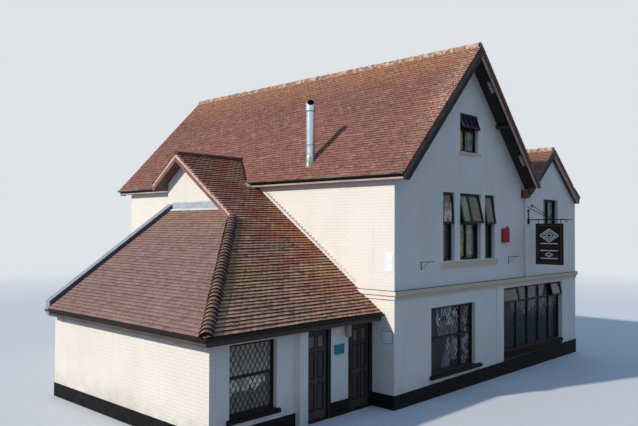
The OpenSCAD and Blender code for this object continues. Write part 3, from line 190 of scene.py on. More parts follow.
class Finish(Nodes):
    """A procedural material, built round one Principled shader.

    place is the place on the building, and x, y and z are its three parts.
    """

    def __init__(self, name, roughness, specular=0.5):
        self.material = bpy.data.materials.new(name)
        self.material.use_nodes = True
        super().__init__(self.material.node_tree)
        self.shader = self.tree.nodes["Principled BSDF"]
        self.shader.inputs["Roughness"].default_value = roughness
        self.shader.inputs["Specular IOR Level"].default_value = specular
        self.place = self.vector("SUBTRACT", self.add("TexCoord").outputs["Object"], CORNER)
        self.x, self.y, self.z = self.add("SeparateXYZ", {0: self.place}).outputs
        self.normal = None

    def vector(self, operation, a, b):
        return self.add("VectorMath", {0: a, 1: b}, operation=operation).outputs[0]

    def within(self, value, low, high):
        """1 where value is between two limits."""
        return self.times(self.above(value, low), self.below(value, high))

    def fit(self, value, low, high, start=0.0, end=1.0):
        """Value taken from low..high to start..end, smoothly and no further."""
        settings = {"Value": value, "From Min": low, "From Max": high, "To Min": start, "To Max": end}
        return self.add("MapRange", settings, interpolation_type="SMOOTHSTEP").outputs[0]

    def noise(self, scale, detail, stretch=(1, 1, 1)):
        """Noise with a scale in cells a metre. stretch makes it longer on an axis below 1."""
        place = self.vector("MULTIPLY", self.place, stretch)
        settings = {"Vector": place, "Scale": scale, "Detail": detail, "Roughness": 0.6}
        return self.add("TexNoise", settings).outputs[0]

    def spots(self, scale, detail, low, high, start=0.0, end=1.0, stretch=(1, 1, 1)):
        """A mask from noise, taken from low..high to start..end."""
        return self.fit(self.noise(scale, detail, stretch), low, high, start, end)

    def mix(self, factor, a, b):
        """Two colours, mixed by a factor. Either may be a written colour."""
        a, b = (srgb(colour) if isinstance(colour, str) else colour for colour in (a, b))
        return self.add("Mix", {0: factor, 6: a, 7: b}, data_type="RGBA").outputs[2]

    def layers(self, colour, *coats):
        """A colour under coats, each of them a mask and the colour that shows where it is 1."""
        for mask, paint in coats:
            colour = self.mix(mask, colour, paint)
        return colour

    def ramp(self, value, colours):
        """A colour that follows value from 0 to 1 through evenly spaced written colours."""
        node = self.add("ValToRGB", {0: value})
        elements = node.color_ramp.elements
        while len(elements) < len(colours):
            elements.new(0.5)
        for i, (element, colour) in enumerate(zip(elements, colours)):
            element.position = i / (len(colours) - 1)
            element.color = srgb(colour)
        return node.outputs[0]

    def away(self, centre, flat=False):
        """Distance from a place, or from the upright line through it."""
        gap = self.vector("SUBTRACT", self.place, centre)
        if flat:
            gap = self.vector("MULTIPLY", gap, (1, 1, 0))
        return self.add("VectorMath", {0: gap}, operation="LENGTH").outputs["Value"]

    def roof_depth(self, across, ridge_place, ridge_z, rise):
        """Depth below the lines that fall on both sides of a ridge."""
        fall = self.times(self.math("ABSOLUTE", self.minus(across, ridge_place)), rise)
        return self.minus(ridge_z, self.plus(fall, self.z))

    def facing(self, axis, smooth=False):
        """One part of the direction that a face looks in, from 0 for X to 2 for Z."""
        kind = "Normal" if smooth else "True Normal"
        return self.add("SeparateXYZ", {0: self.add("NewGeometry").outputs[kind]}).outputs[axis]

    def faces_down(self, limit=-0.2):
        """1 where the face looks down more steeply than a limit."""
        return self.below(self.facing(2), limit)

    def faces_street(self):
        return self.below(self.facing(1), -0.5)

    def bump(self, height, distance, strength=1.0):
        """Relief by a height from 0 to 1, which stands for a distance."""
        settings = {"Height": height, "Distance": distance, "Strength": strength}
        if self.normal is not None:
            settings["Normal"] = self.normal
        self.normal = self.add("Bump", settings).outputs[0]

    def grain(self, stretch, scale=24.0):
        """The grain of boards, as relief and as a mask. It runs where stretch is small."""
        lines = self.noise(scale, 5.0, stretch)
        self.bump(lines, 0.002, 0.5)
        return self.fit(lines, 0.35, 0.7)

    def done(self, colour, **linked):
        """The material, with its colour, its relief and perhaps other values linked."""
        for socket, value in {"Base Color": colour, "Normal": self.normal, **linked}.items():
            if value is not None:
                self.tree.links.new(value, self.shader.inputs[socket])
        return self.material


def brick_face(f):
    """Place on a wall as a flat vector: along the wall by the way it faces, and up."""
    sideways = f.above(f.math("ABSOLUTE", f.facing(0)), 0.5)
    along = f.add("Mix", {0: sideways, 2: f.x, 3: f.y}, data_type="FLOAT").outputs[0]
    return f.add("CombineXYZ", {0: along, 1: f.z}).outputs[0]


def painted_wall(name, coat, shade, relief, shaded_street_coat=None):
    """Painted brick or render: courses of 75 mm show through the coat as far as relief says.

    shaded_street_coat is the colour of the faces towards the street, where it differs; on the
    string course it is darker there, partly dirt and partly painted shade. The wall under
    the shop front and the feet of the ground floor's window openings are black.
    """
    f = Finish(name, 0.72)
    settings = {
        "Vector": brick_face(f), "Scale": 1.0, "Mortar Size": 0.006, "Mortar Smooth": 0.6,
        "Brick Width": 0.225, "Row Height": 0.075, "Color1": (1, 1, 1, 1),
        "Color2": (0.86, 0.86, 0.86, 1), "Mortar": (0.2, 0.2, 0.2, 1)}
    bricks = f.add("TexBrick", settings, offset=0.5)
    street = f.faces_street()
    shown = f.fit(f.spots(0.7, 2.0, 0.35, 0.65), 0, 1, 0.45, 1.0)
    joints = f.times(bricks.outputs["Fac"], shown, 0.11 * relief)
    splash = f.times(f.fit(f.z, 0.9, 0.25), f.spots(3.0, 3.0, 0.3, 0.7, 0.05, 0.35))
    stall = f.times(f.within(f.x, *SHOP_ENDS), f.below(f.z, SHOP_FOOT), street)
    window_foot = f.times(f.within(f.z, *WINDOW_FEET), f.below(f.y, BLACK_REACH), f.above(f.facing(2), 0.5))
    colour = f.mix(f.spots(0.5, 4.0, 0.35, 0.75), coat, shade)
    # On the string course the faces towards the street are darker: dirt with painted shade.
    if shaded_street_coat:
        colour = f.mix(street, colour, shaded_street_coat)
    colour = f.layers(
        colour, (joints, "8f8a80"), (f.spots(5.0, 4.0, 0.55, 0.8, 0.0, 0.13, (1, 1, 0.08)), "a39c8c"),
        (splash, "8e8878"), (stall, BLACK_PAINT), (window_foot, BLACK_PAINT))
    f.bump(bricks.outputs["Color"], 0.006 * relief, 0.7)
    f.bump(f.noise(38.0, 4.0), 0.0025, 0.5)
    return f.done(colour, Roughness=f.spots(9.0, 3.0, 0.3, 0.7, 0.62, 0.82))


def tile_finish(name, tones, growth_and_light, growth_and_light_colours, weather, lines, mottle=1.0):
    """Clay tiles. tones are the clays from dark to pale, growth_and_light gives the masks of lichen,
    and for the bonnets also of painted light and shade.

    lines are the strengths of the pale front edge, a painted highlight mixed with lichen, of the
    dark band under the next tile, dirt with painted shadow, and of the tail, darkened where it
    looks down as painted shade, and mottle is how strong the fine grain of pale and dark is.
    """
    f = Finish(name, 0.85, 0.25)
    tone, edge = (f.add("Attribute", attribute_name=kind, attribute_type="GEOMETRY").outputs["Fac"]
                  for kind in ("tone", "edge"))
    pale, dirt_and_shadow, tail_shade = lines
    # The pale front edge is a painted highlight mixed with lichen, the dark band under the next tile is
    # dirt with painted shadow, and the darker tail where a face looks down is painted shade.
    front = f.times(f.fit(edge, 0.8, 0.97, 0.0, pale), f.spots(12.0, 3.0, 0.3, 0.65))
    colour = f.layers(
        f.ramp(tone, tones), (f.spots(0.45, 3.0, 0.42, 0.72, 0.0, 0.3), weather),
        (f.spots(36.0, 4.0, 0.45, 0.75, 0.0, 0.4 * mottle), "d0ac98"),
        (f.spots(24.0, 4.0, 0.5, 0.72, 0.0, 0.35 * mottle), "3b2d29"),
        *zip(growth_and_light(f), growth_and_light_colours), (front, "d6b6a0"),
        (f.fit(edge, 0.56, 0.4, 0.0, dirt_and_shadow), "2e2320"), (f.times(f.faces_down(), tail_shade), "241b18"))
    f.bump(f.noise(60.0, 4.0), 0.003, 0.6)
    f.bump(f.noise(11.0, 3.0), 0.004, 0.5)
    return f.done(colour)


def main_growth(f):
    """Ochre lichen along the main ridge, and pale specks by the street verge and over all."""
    near_ridge = f.fit(f.z, 8.0, 9.0)
    near_verge = f.times(f.fit(f.y, 0.55, -0.3), f.fit(f.z, 5.8, 7.6, 0.12, 1.0))
    orange = f.times(f.most(near_ridge, f.times(near_verge, 0.3)), f.spots(9.0, 6.0, 0.4, 0.56, 0.0, 0.9))
    pale = f.times(f.most(f.times(near_ridge, 0.45), near_verge), f.spots(19.0, 5.0, 0.5, 0.6, 0.0, 0.8))
    return orange, pale, f.spots(33.0, 4.0, 0.6, 0.68, 0.0, 0.55)


def low_growth(f):
    """Moss on the lower slope, thick in two patches, red clay and ochre lichen by the long wall."""
    spread = f.most(
        f.fit(f.away(LARGE_MOSS), 0.62, 0.25), f.fit(f.away(SMALL_MOSS), 0.36, 0.16),
        f.spots(0.9, 2.0, 0.5, 0.7, 0.0, 0.5))
    moss = f.times(spread, f.spots(9.0, 5.0, 0.38, 0.54, 0.0, 0.85))
    beside = f.times(f.fit(f.x, -3.3, -0.7), f.fit(f.z, 2.3, 3.4, 0.3, 1.0))
    red = f.times(beside, f.spots(1.5, 4.0, 0.42, 0.56, 0.0, 0.8))
    close = f.times(f.fit(f.x, -1.2, -0.1), f.fit(f.z, 2.6, 3.6))
    orange = f.times(close, f.spots(6.0, 6.0, 0.42, 0.58, 0.0, 0.85))
    return moss, red, orange, f.spots(30.0, 4.0, 0.6, 0.7, 0.0, 0.5)


def bonnet_light_and_lichen(f):
    """Gold on the side towards the west, partly lichen and partly painted sunlight, and painted shade on
    the side towards the street.
    """
    lichen_and_highlight = f.times(f.fit(f.facing(0, True), -0.15, -0.6), f.spots(9.0, 5.0, 0.35, 0.58, 0.2, 0.9))
    return lichen_and_highlight, f.fit(f.facing(1, True), -0.3, -0.7, 0.0, 0.6)


def ridge_growth(f):
    """Ochre, pale and dark patches on the ridge tiles."""
    return (f.spots(4.0, 5.0, 0.42, 0.6, 0.0, 0.7), f.spots(7.0, 5.0, 0.46, 0.6, 0.0, 0.6),
            f.spots(10.0, 5.0, 0.5, 0.62, 0.0, 0.7))


def hip_growth(f):
    """A little orange at the top of the hipped end, and pale specks."""
    top = f.times(f.fit(f.x, -2.5, -1.6), f.spots(5.0, 5.0, 0.42, 0.6, 0.0, 0.6))
    return top, f.spots(30.0, 4.0, 0.62, 0.72, 0.0, 0.35)


def slab_finish(name, clay, boards):
    """A roof slab: clay where it looks up between the tiles, boards on its underside."""
    f = Finish(name, 0.85)
    colour = f.mix(f.faces_down(), clay, boards)
    return f.done(f.mix(f.spots(5.0, 4.0, 0.4, 0.7, 0.0, 0.4, (1, 0.3, 1)), colour, "241d1a"))


def clay_run(name, tones, growth_and_light, growth_and_light_colours, length):
    """A row of clay pieces, each with its own tone, that follows X plus Y in steps of length."""
    f = Finish(name, 0.85, 0.25)
    step = f.math("FLOOR", f.math("DIVIDE", f.plus(f.x, f.y), length))
    chance = f.add("TexWhiteNoise", {"W": step}, noise_dimensions="1D").outputs["Value"]
    colour = f.layers(
        f.ramp(chance, tones), (f.spots(22.0, 4.0, 0.45, 0.72, 0.0, 0.4), "6b5142"),
        *zip(growth_and_light(f), growth_and_light_colours), (f.fit(f.facing(2, True), 0.75, 0.97, 0.0, 0.75), "f2e6da"),
        (f.times(f.below(f.z, HIGH_CLAY), 0.9), "4a2a24"))
    f.bump(f.noise(45.0, 4.0), 0.004, 0.6)
    return f.done(colour)


def eaves_finish(name):
    """Fascias and soffits: faded and pale on the high eaves, with a painted shadow of the gutter along the
    top of the fascia, and dark brown on the low ones.
    """
    f = Finish(name, 0.7, 0.2)
    grain = f.grain((1, 0.08, 1))
    # The dark strip across the fascia just behind the gutter is a painted shadow of the gutter.
    face = f.mix(f.within(f.z, *FASCIA_SHADE), f.mix(grain, "c3aea6", "a18d86"), "3a302c")
    high = f.mix(f.faces_down(-0.5), face, f.mix(grain, "8a8274", "716a5f"))
    return f.done(f.mix(f.above(f.z, HIGH_EAVES), f.mix(grain, "5d5048", "463b35"), high))


def gutter_finish(name):
    """Black gutters, with dust along the rim of the high ones."""
    f = Finish(name, 0.6, 0.2)
    rim = f.times(f.within(f.z, *GUTTER_RIM), f.spots(1.3, 4.0, 0.4, 0.6, 0.35, 0.95))
    return f.done(f.mix(rim, "131314", "968a7c"))


def barge_finish(name, ridge, rise, board):
    """Boards along a verge, nearly black at their foot.

    They are brown down to a depth of board left of the ridge. Right of it they are redder, and
    paler for some way below that depth, a painted highlight along their lower edge.
    """
    f = Finish(name, 0.7, 0.2)
    grain = f.grain((0.2, 1, 0.2))
    depth = f.roof_depth(f.x, ridge.x, ridge.z, rise)
    right = f.above(f.x, ridge.x)
    # Right of the ridge the pale band below the red is a painted highlight along the boards' lower edge.
    red = f.mix(f.above(depth, board), f.mix(grain, "86604f", "5a3d33"), f.mix(grain, "c8a28c", "9a7868"))
    brown = f.mix(right, f.mix(grain, "6a564d", "42352f"), red)
    past = f.minus(depth, f.plus(f.times(right, LIT_EDGE_BOARD), board))
    return f.done(f.mix(f.fit(past, -0.012, 0.012), brown, "14151a"))


def gablet_finish(name):
    """Boards of the small gable: a pale bed of mortar above, a painted shadow line under it, and faded
    red-brown below.
    """
    f = Finish(name, 0.75, 0.2)
    depth = f.roof_depth(f.y, *LOW_RIDGE, LOW_RISE)
    board = f.mix(f.grain((1, 0.15, 0.15), 18.0), "9a6d62", "785349")
    bed = f.mix(f.spots(16.0, 4.0, 0.35, 0.7), "dcc3b6", "b89a8e")
    # The dark line just under the bed of mortar is a painted shadow.
    return f.done(f.layers(
        bed, (f.fit(depth, PALE_VERGE, PALE_VERGE + 0.008), "4a302a"),
        (f.fit(depth, PALE_VERGE + 0.02, PALE_VERGE + 0.03), board)))


def purlin_finish(name):
    """Pale packing blocks, and a dark purlin between them."""
    f = Finish(name, 0.6)
    pale = f.mix(f.spots(14.0, 4.0, 0.4, 0.7), "c4bdb0", "988f83")
    return f.done(f.mix(f.within(f.z, *MIDDLE_PURLIN), pale, "231f1e"))


def pipe_finish(name):
    """Pipe painted as the wall, under a hopper of dark reddish brown."""
    f = Finish(name, 0.65, 0.25)
    colour = f.mix(f.above(f.z, HOPPER_FOOT), "f1eade", "55302a")
    return f.done(f.layers(
        colour, (f.above(f.z, HOPPER_RIM), "8a6d62"), (f.spots(9.0, 4.0, 0.45, 0.75, 0.0, 0.14), "75695f")))


def lead_finish(name):
    """Lead: pale on the roofs, duller on the kerb with painted shade on its side towards the street,
    stepped by the long wall, and painted dark on the string as shade.
    """
    f = Finish(name, 0.65, 0.3)
    patches = f.spots(5.0, 4.0, 0.42, 0.72)
    # The kerb's side towards the street is darker: painted shade.
    kerb = f.mix(f.faces_street(), f.mix(patches, "969ca3", "80868d"), "4d535b")
    colour = f.mix(f.above(f.y, KERB_START), f.mix(patches, "b3b9c0", "a0a6ad"), kerb)
    slope = f.times(f.minus(f.y, LOW_RIDGE[0]), LOW_RISE)
    height = f.minus(f.z, LOW_RIDGE[1], slope)
    steps = f.mix(f.fit(f.y, 1.4, 2.8), "d9d4ca", "9b9e99")
    flashing = f.mix(f.fit(height, 0.12, 0.15), "e4e1dc", steps)
    # The lead on the string course is painted dark as shade.
    string = f.times(f.within(f.z, *STRING_LEAD), f.below(f.y, STRING_REACH))
    f.bump(f.noise(30.0, 4.0), 0.002, 0.6)
    return f.done(f.layers(colour, (f.above(f.x, -0.02), flashing), (string, "25262a")))


def wood(name, pale, dark, stretch, paint):
    """Painted or stained boards, with patches of old paint."""
    f = Finish(name, 0.5, 0.2)
    colour = f.mix(f.grain(stretch), pale, dark)
    colour = f.mix(f.spots(2.5, 3.0, 0.45, 0.75, 0.0, paint), colour, "9a9184")
    return f.done(colour, Roughness=f.spots(16.0, 3.0, 0.3, 0.7, 0.5, 0.7))


def plain_coat(name, base, wear, roughness, scale, specular=0.5, bump=0.001):
    """A coat with wear in patches."""
    f = Finish(name, roughness, specular)
    f.bump(f.noise(scale * 6, 4.0), bump, 0.6)
    dull = f.spots(scale * 1.7, 3.0, 0.3, 0.7, roughness, min(1.0, roughness + 0.18))
    return f.done(f.mix(f.spots(scale, 4.0, 0.42, 0.72), base, wear), Roughness=dull)


def steel(name):
    """Bright flue pipe with a dull foot, painted shade on its side away from the sun, and its bore and the
    inside of its cowl painted near black as shade.
    """
    f = Finish(name, 0.34)
    colour = f.mix(f.spots(9.0, 2.0, 0.35, 0.7, stretch=(1, 1, 0.06)), "c6d3de", "a3b2bf")
    foot = f.times(f.fit(f.z, 6.2, 6.0), f.spots(11.0, 4.0, 0.3, 0.6, 0.4, 1.0))
    seams = f.most(*(f.within(f.z, low, high) for low, high in FLUE_SEAMS))
    # The bore and the inside of the cowl are painted near black, as shade.
    in_bore = f.times(f.below(f.away(DOME, flat=True), FLUE_BORE), f.below(f.z, DOME[2] - 0.02))
    inside = f.most(in_bore, f.below(f.away(DOME), DOME_SHELL))
    metal = f.times(f.minus(1.0, inside), 0.85)
    # The side away from the sun is darker: painted shade.
    colour = f.layers(
        colour, (foot, "8f8a80"), (f.fit(f.facing(0, True), 0.1, 0.9, 0.0, 0.6), "5f6f7e"),
        (seams, "39414a"), (inside, "0c0b0a"))
    return f.done(colour, Metallic=metal, Roughness=f.spots(7.0, 3.0, 0.3, 0.7, 0.26, 0.4))


# What shows in the street windows, partly things close behind the glass such as blinds, curtains
# and lace, and partly painted reflections such as green trees and bright patches: the ends in X,
# the ends in Z, colour and how ragged the edge is
BEHIND_GLASS_AND_REFLECTIONS = [
    (-4.3, -3.1, 0.6, 1.24, "8c7f6c", 0.0),
    (-4.3, -3.3, 1.03, 1.5, "fff4e0", 0.2),
    (-4.3, -3.1, 1.24, 1.95, "c6b69c", 0.0),
    (2.0, 3.0, 1.42, 1.8, "a8968c", 0.1),
    (1.95, 3.0, 1.82, 2.15, "fbf6f0", 0.7),
    (2.35, 2.95, 0.8, 1.36, "c0c6ba", 0.4),
    (2.2, 2.6, 0.7, 0.95, "a8a4a4", 0.4),
    (3.15, 3.5, 0.7, 2.05, "cac7c2", 0.7),
    (5.9, 9.08, 1.72, 2.4, "bcaca4", 0.3),
    (5.2, 6.9, 0.9, 1.7, "3a4450", 0.6),
    (5.2, 9.1, 2.08, 2.45, "535a50", 0.1),
    (2.1, 2.54, 4.37, 5.1, "6f5a50", 0.0),
    (2.1, 2.54, 4.37, 4.75, "e6cdbb", 0.35),
    (2.1, 2.54, 3.43, 4.33, "4e4a40", 0.2),
    (2.05, 2.3, 4.05, 4.33, "b5b568", 0.3),
    (2.9, 3.37, 4.37, 5.1, "84a084", 0.1),
    (3.37, 3.88, 4.37, 5.1, "63702c", 0.3),
    (3.0, 3.33, 3.5, 4.33, "a3a85e", 0.15),
    (3.4, 3.75, 3.5, 4.33, "a7ab7c", 0.1),
    (4.2, 4.65, 4.37, 5.1, "5c6e6c", 0.1),
    (4.2, 4.45, 3.43, 4.33, "4d5456", 0.1),
    (2.9, 3.75, 6.9, 7.3, "3d4154", 0.0),
    (3.0, 3.42, 6.3, 6.87, "a9b05a", 0.15),
    (3.5, 3.75, 6.3, 6.87, "a4b498", 0.1),
    (8.3, 8.75, 3.6, 5.1, "93a98a", 0.1),
    (7.9, 8.25, 3.43, 5.1, "55645c", 0.1)]


def pane(name, patches):
    """Old window glass, dark and glossy, with what can be seen close behind it and painted reflections.

    A patch with a ragged edge is mottled as leaves are, and another one has folds as a blind.
    """
    f = Finish(name, 0.12)
    f.shader.inputs["IOR"].default_value = 1.35
    f.shader.inputs["Transmission Weight"].default_value = 0.15
    colour = f.mix(f.spots(3.0, 2.0, 0.3, 0.7), "333a3e", "20262b")
    sway = f.spots(6.0, 4.0, 0.3, 0.7, -0.5, 0.5, (1, 1, 0.4))
    folds = f.spots(16.0, 2.0, 0.35, 0.65, 0.72, 1.0, (1, 1, 0.04))
    leaves = f.spots(9.0, 5.0, 0.36, 0.6, 0.4, 1.0)
    for x0, x1, z0, z1, paint, ragged in patches:
        across, up = (f.plus(value, f.times(sway, ragged)) for value in (f.x, f.z))
        shape = f.times(f.within(across, x0, x1), f.within(up, z0, z1), f.within(f.x, x0, x1))
        colour = f.mix(f.times(shape, leaves if ragged else folds), colour, paint)
    f.bump(f.noise(2.2, 2.0), 0.004, 0.35)
    return f.done(colour)


def floor_finish(name):
    """Pale floor, which turns into the backdrop from 22 to 60 m away from the building."""
    f = Finish(name, 0.9)
    seen = f.plain_sight()
    far = f.fit(f.away((0.0, 0.0, 0.0), flat=True), 22.0, 60.0)
    glow = f.add("Emission", {"Color": srgb(BACKDROP), "Strength": 1.0}).outputs[0]
    f.tree.links.new(f.mix(seen, "6f7276", "d2d4d6"), f.shader.inputs["Base Color"])
    both = f.add("MixShader", {0: f.times(far, seen), 1: f.shader.outputs[0], 2: glow})
    f.tree.links.new(both.outputs[0], f.tree.nodes["Material Output"].inputs["Surface"])
    return f.material


# Every finish, under what makes it, with the values that it takes
FINISHES = [
    (painted_wall, {
        "wall_paint": ("f3ece0", "e9e1d2", 1.0),
        "string_paint": ("efe6d8", "e0d4c2", 0.12, "d3c3a5")}),
    (tile_finish, {
        "main_tiles": (
            ["693e37", "784940", "874f46", "945c4e", "a36b5c"], main_growth,
            ["aa6c3a", "d6bca8", "bfa494"], "5c443c", (0.4, 0.45, 0.6)),
        "low_tiles": (
            ["583d34", "906c59", "ad8266", "c79675", "83634f"], low_growth,
            ["968238", "a04638", "b57a3e", "c9b6a4"], "53403c", (0.6, 0.55, 0.8), 1.6),
        "hip_tiles": (
            ["735a55", "81645d", "8d6e65", "98776c", "785f59"], hip_growth,
            ["a8824f", "bda89c"], "66514c", (0.3, 0.4, 0.5), 1.4),
        # On the bonnets, the gold is partly lichen and partly painted sunlight, and the dark brown on the
        # street side is painted shade.
        "bonnet_tile": (
            ["4f3c38", "6a504a", "7d5f56", "8a6a5b", "5e4741"], bonnet_light_and_lichen,
            ["a18560", "33271f"], "4b3c3a", (0.3, 0.7, 0.95), 1.6)}),
    (clay_run, {
        "ridge_clay": (
            ["8c6652", "a07a64", "ae8670", "93705c"], ridge_growth,
            ["a87440", "e4d4c6", "6e4c36"], RIDGE_STEP),
        # The core under the bonnet shells is near black: painted shade in the hollows beneath them.
        "bonnet_core": (["1c1512", "261d19"], hip_growth, ["3a2d22", "3a302c"], BONNET_STEP)}),
    (slab_finish, {"main_slab": ("3f2a26", "1f1b1a"), "low_slab": ("30211d", "5e453d")}),
    (wood, {
        "floor_boards": ("9a7650", "6d5036", (0.1, 1, 1), 0.35),
        "frame_wood": (BLACK_PAINT, "16181b", (1, 1, 0.1), 0.04),
        "door_wood": ("48423c", "383432", (1, 1, 0.06), 0.06),
        "door_moulding": ("1a1412", "120e0d", (1, 1, 0.06), 0.04),
        "sign_wood": ("2a2023", "1d1719", (1, 1, 0.1), 0.04)}),
    (barge_finish, {
        "barge_wood": (MAIN_RIDGE, MAIN_RISE, MAIN_BOARD),
        "wing_barge_wood": (WING_RIDGE, WING_RISE, WING_BOARD)}),
    (plain_coat, {
        "plinth_paint": (BLACK_PAINT, "1b1d21", 0.7, 6.0, 0.15),
        "mortar": ("b29c86", "86705e", 0.95, 12.0, 0.5, 0.004),
        "ground_concrete": ("8d8a84", "74716b", 0.9, 4.0),
        "pale_lead": ("d3d3d3", "bcbec2", 0.65, 4.0, 0.3),
        # A dark strip along the lower roof's joins with the main slope: painted shadow.
        "dark_lead": ("3a2523", "241a19", 0.8, 9.0, 0.2),
        "came_lead": ("38393a", "4a4b4c", 0.6, 9.0, 0.2),
        "iron": ("0f1113", "1b1b1c", 0.6, 12.0, 0.2),
        "sign_line": ("6b5f4c", "4f4638", 0.6, 9.0),
        "sign_red": ("5e2a2c", "472124", 0.6, 9.0, 0.2),
        "sign_pale": ("f4ece0", "d9cdbd", 0.6, 9.0),
        "alarm_red": ("b01f26", "8e1c22", 0.45, 6.0, 0.3),
        "plate_white": ("fbfbf8", "e9ebea", 0.45, 6.0, 0.3),
        "plate_blue": ("5a6f96", "4d5f80", 0.45, 6.0, 0.3),
        "plate_teal": ("1c8a96", "16707e", 0.45, 6.0, 0.3),
        "box_beige": ("b9a88e", "9c8c76", 0.6, 6.0, 0.3),
        "frosted": ("6f6468", "5a565e", 0.3, 5.0, 0.3)}),
    (pane, {"glass": (BEHIND_GLASS_AND_REFLECTIONS,), "rear_panes": ([],)}),
    (eaves_finish, {"eaves_wood": ()}),
    (gablet_finish, {"gablet_wood": ()}),
    (purlin_finish, {"purlin_wood": ()}),
    (lead_finish, {"lead": ()}),
    (gutter_finish, {"black_plastic": ()}),
    (pipe_finish, {"pipe_paint": ()}),
    (steel, {"flue_steel": ()})]
MATERIALS = {name: make(name, *values) for make, rows in FINISHES for name, values in rows.items()}

# Nodes whose finish isn't the one of their slot
NODE_FINISHES = {
    **dict.fromkeys(
        ("main_west_slope", "main_east_slope", "wing_west_slope", "wing_east_slope"), "main_slab"),
    **dict.fromkeys(("low_south_slope", "low_hip_slope", "low_north_slope"), "low_slab"),
    "bonnet_tiles": "bonnet_core", "rear_glass": "rear_panes", "wing_barge_boards": "wing_barge_wood"}

for row in frame["record"]["subparts"]:
    node_mesh = frame["nodes"][row["node"]].data
    node_mesh.materials.clear()
    node_mesh.materials.append(MATERIALS[NODE_FINISHES.get(row["node"], row["material_slot"])])


def placed(name, data):
    """A new object in the scene."""
    made = bpy.data.objects.new(name, data)
    bpy.context.scene.collection.objects.link(made)
    return made


def piece(name, points, faces, slot, body="root", finish=None):
    """A new mesh from points in the row frame, which rides on a body."""
    mesh = bpy.data.meshes.new(name)
    mesh.from_pydata([tuple(p) for p in points], [], faces)
    mesh.validate()
    mesh.materials.append(MATERIALS[finish or slot])
    made = placed(name, mesh)
    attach(made, body)
    return made


def copies(count, size, faces):
    """Faces of many like shapes, whose points follow each other in runs of size."""
    return [tuple(i + k * size for i in face) for k in range(count) for face in faces]


BLOCK_FACES = [(0, 3, 2, 1), (4, 5, 6, 7), (0, 1, 5, 4), (1, 2, 6, 5), (2, 3, 7, 6), (3, 0, 4, 7)]


def blocks(name, points, slot, **more):
    """One piece of six-sided blocks, each given by eight points: four below and four above."""
    piece(name, points, copies(len(points) // 8, 8, BLOCK_FACES), slot, **more)


def boxes(name, corners, slot, **more):
    """Upright boxes given by their lowest and highest corners, as one piece."""
    points = []
    for (x0, y0, z0), (x1, y1, z1) in corners:
        points += [(x, y, z) for z in (z0, z1) for x, y in ((x0, y0), (x1, y0), (x1, y1), (x0, y1))]
    blocks(name, points, slot, **more)


def bars(name, runs, width, depth, facing, slot, **more):
    """Flat strips between pairs of points, width across and depth along the unit vector facing."""
    out = Vector(facing)
    points = []
    for start, end in runs:
        a, b = Vector(start), Vector(end)
        side = (b - a).normalized().cross(out) * (width / 2)
        points += [p + out * h for h in (0.0, depth) for p in (a - side, a + side, b + side, b - side)]
    blocks(name, points, slot, **more)


def level_at(node, axis, place):
    """The top of a node where its coordinate on an axis is place."""
    return max(v.co.z for v in frame["nodes"][node].data.vertices if abs(v.co[axis] - place) < 0.001)


class Slope:
    """The upper face of a roof slab, between its eaves edge and its upper edge."""

    def __init__(self, toe, along, head, width=None):
        self.width = width
        self.toe = np.array(toe, float)
        self.along = np.array(along, float)
        run = np.array(head, float) - self.toe
        self.length = float(np.linalg.norm(run))
        self.up = run / self.length
        out = np.cross(self.along, self.up)
        self.out = out * np.sign(out[2])

    def at(self, u, s, h):
        """Points in the row frame for arrays of slope coordinates."""
        u, s, h = (np.asarray(a, float)[..., None] for a in (u, s, h))
        return self.toe + u * self.along + s * self.up + h * self.out


def west_or_east(node, climbs):
    """The slope of a slab that climbs towards +X (1) or towards -X (-1)."""
    low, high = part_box(node)
    ends = (low.x, high.x) if climbs > 0 else (high.x, low.x)
    toe, head = ((x, low.y, level_at(node, 0, x)) for x in ends)
    return Slope(toe, (0, 1, 0), head, high.y - low.y)


def tile_rows(first, last, gauge=GAUGE):
    count = max(1, math.ceil((last - first) / gauge))
    return [first + k * gauge for k in range(count)]


# Points of one tile, as shares of its half width, its length and its heights
TILE_POINTS = np.array([
    [-1, 0, 0], [0, 0, 1], [1, 0, 0], [1, 0, -1], [-1, 0, -1],
    [-1, 1, 0], [0, 1, 1], [1, 1, 0], [1, 1, -1], [-1, 1, -1]], float)
TILE_FACES = [(0, 1, 6, 5), (1, 2, 7, 6), (2, 3, 8, 7), (4, 0, 5, 9), (3, 4, 9, 8),
              (4, 3, 2, 1, 0), (5, 6, 7, 8, 9)]


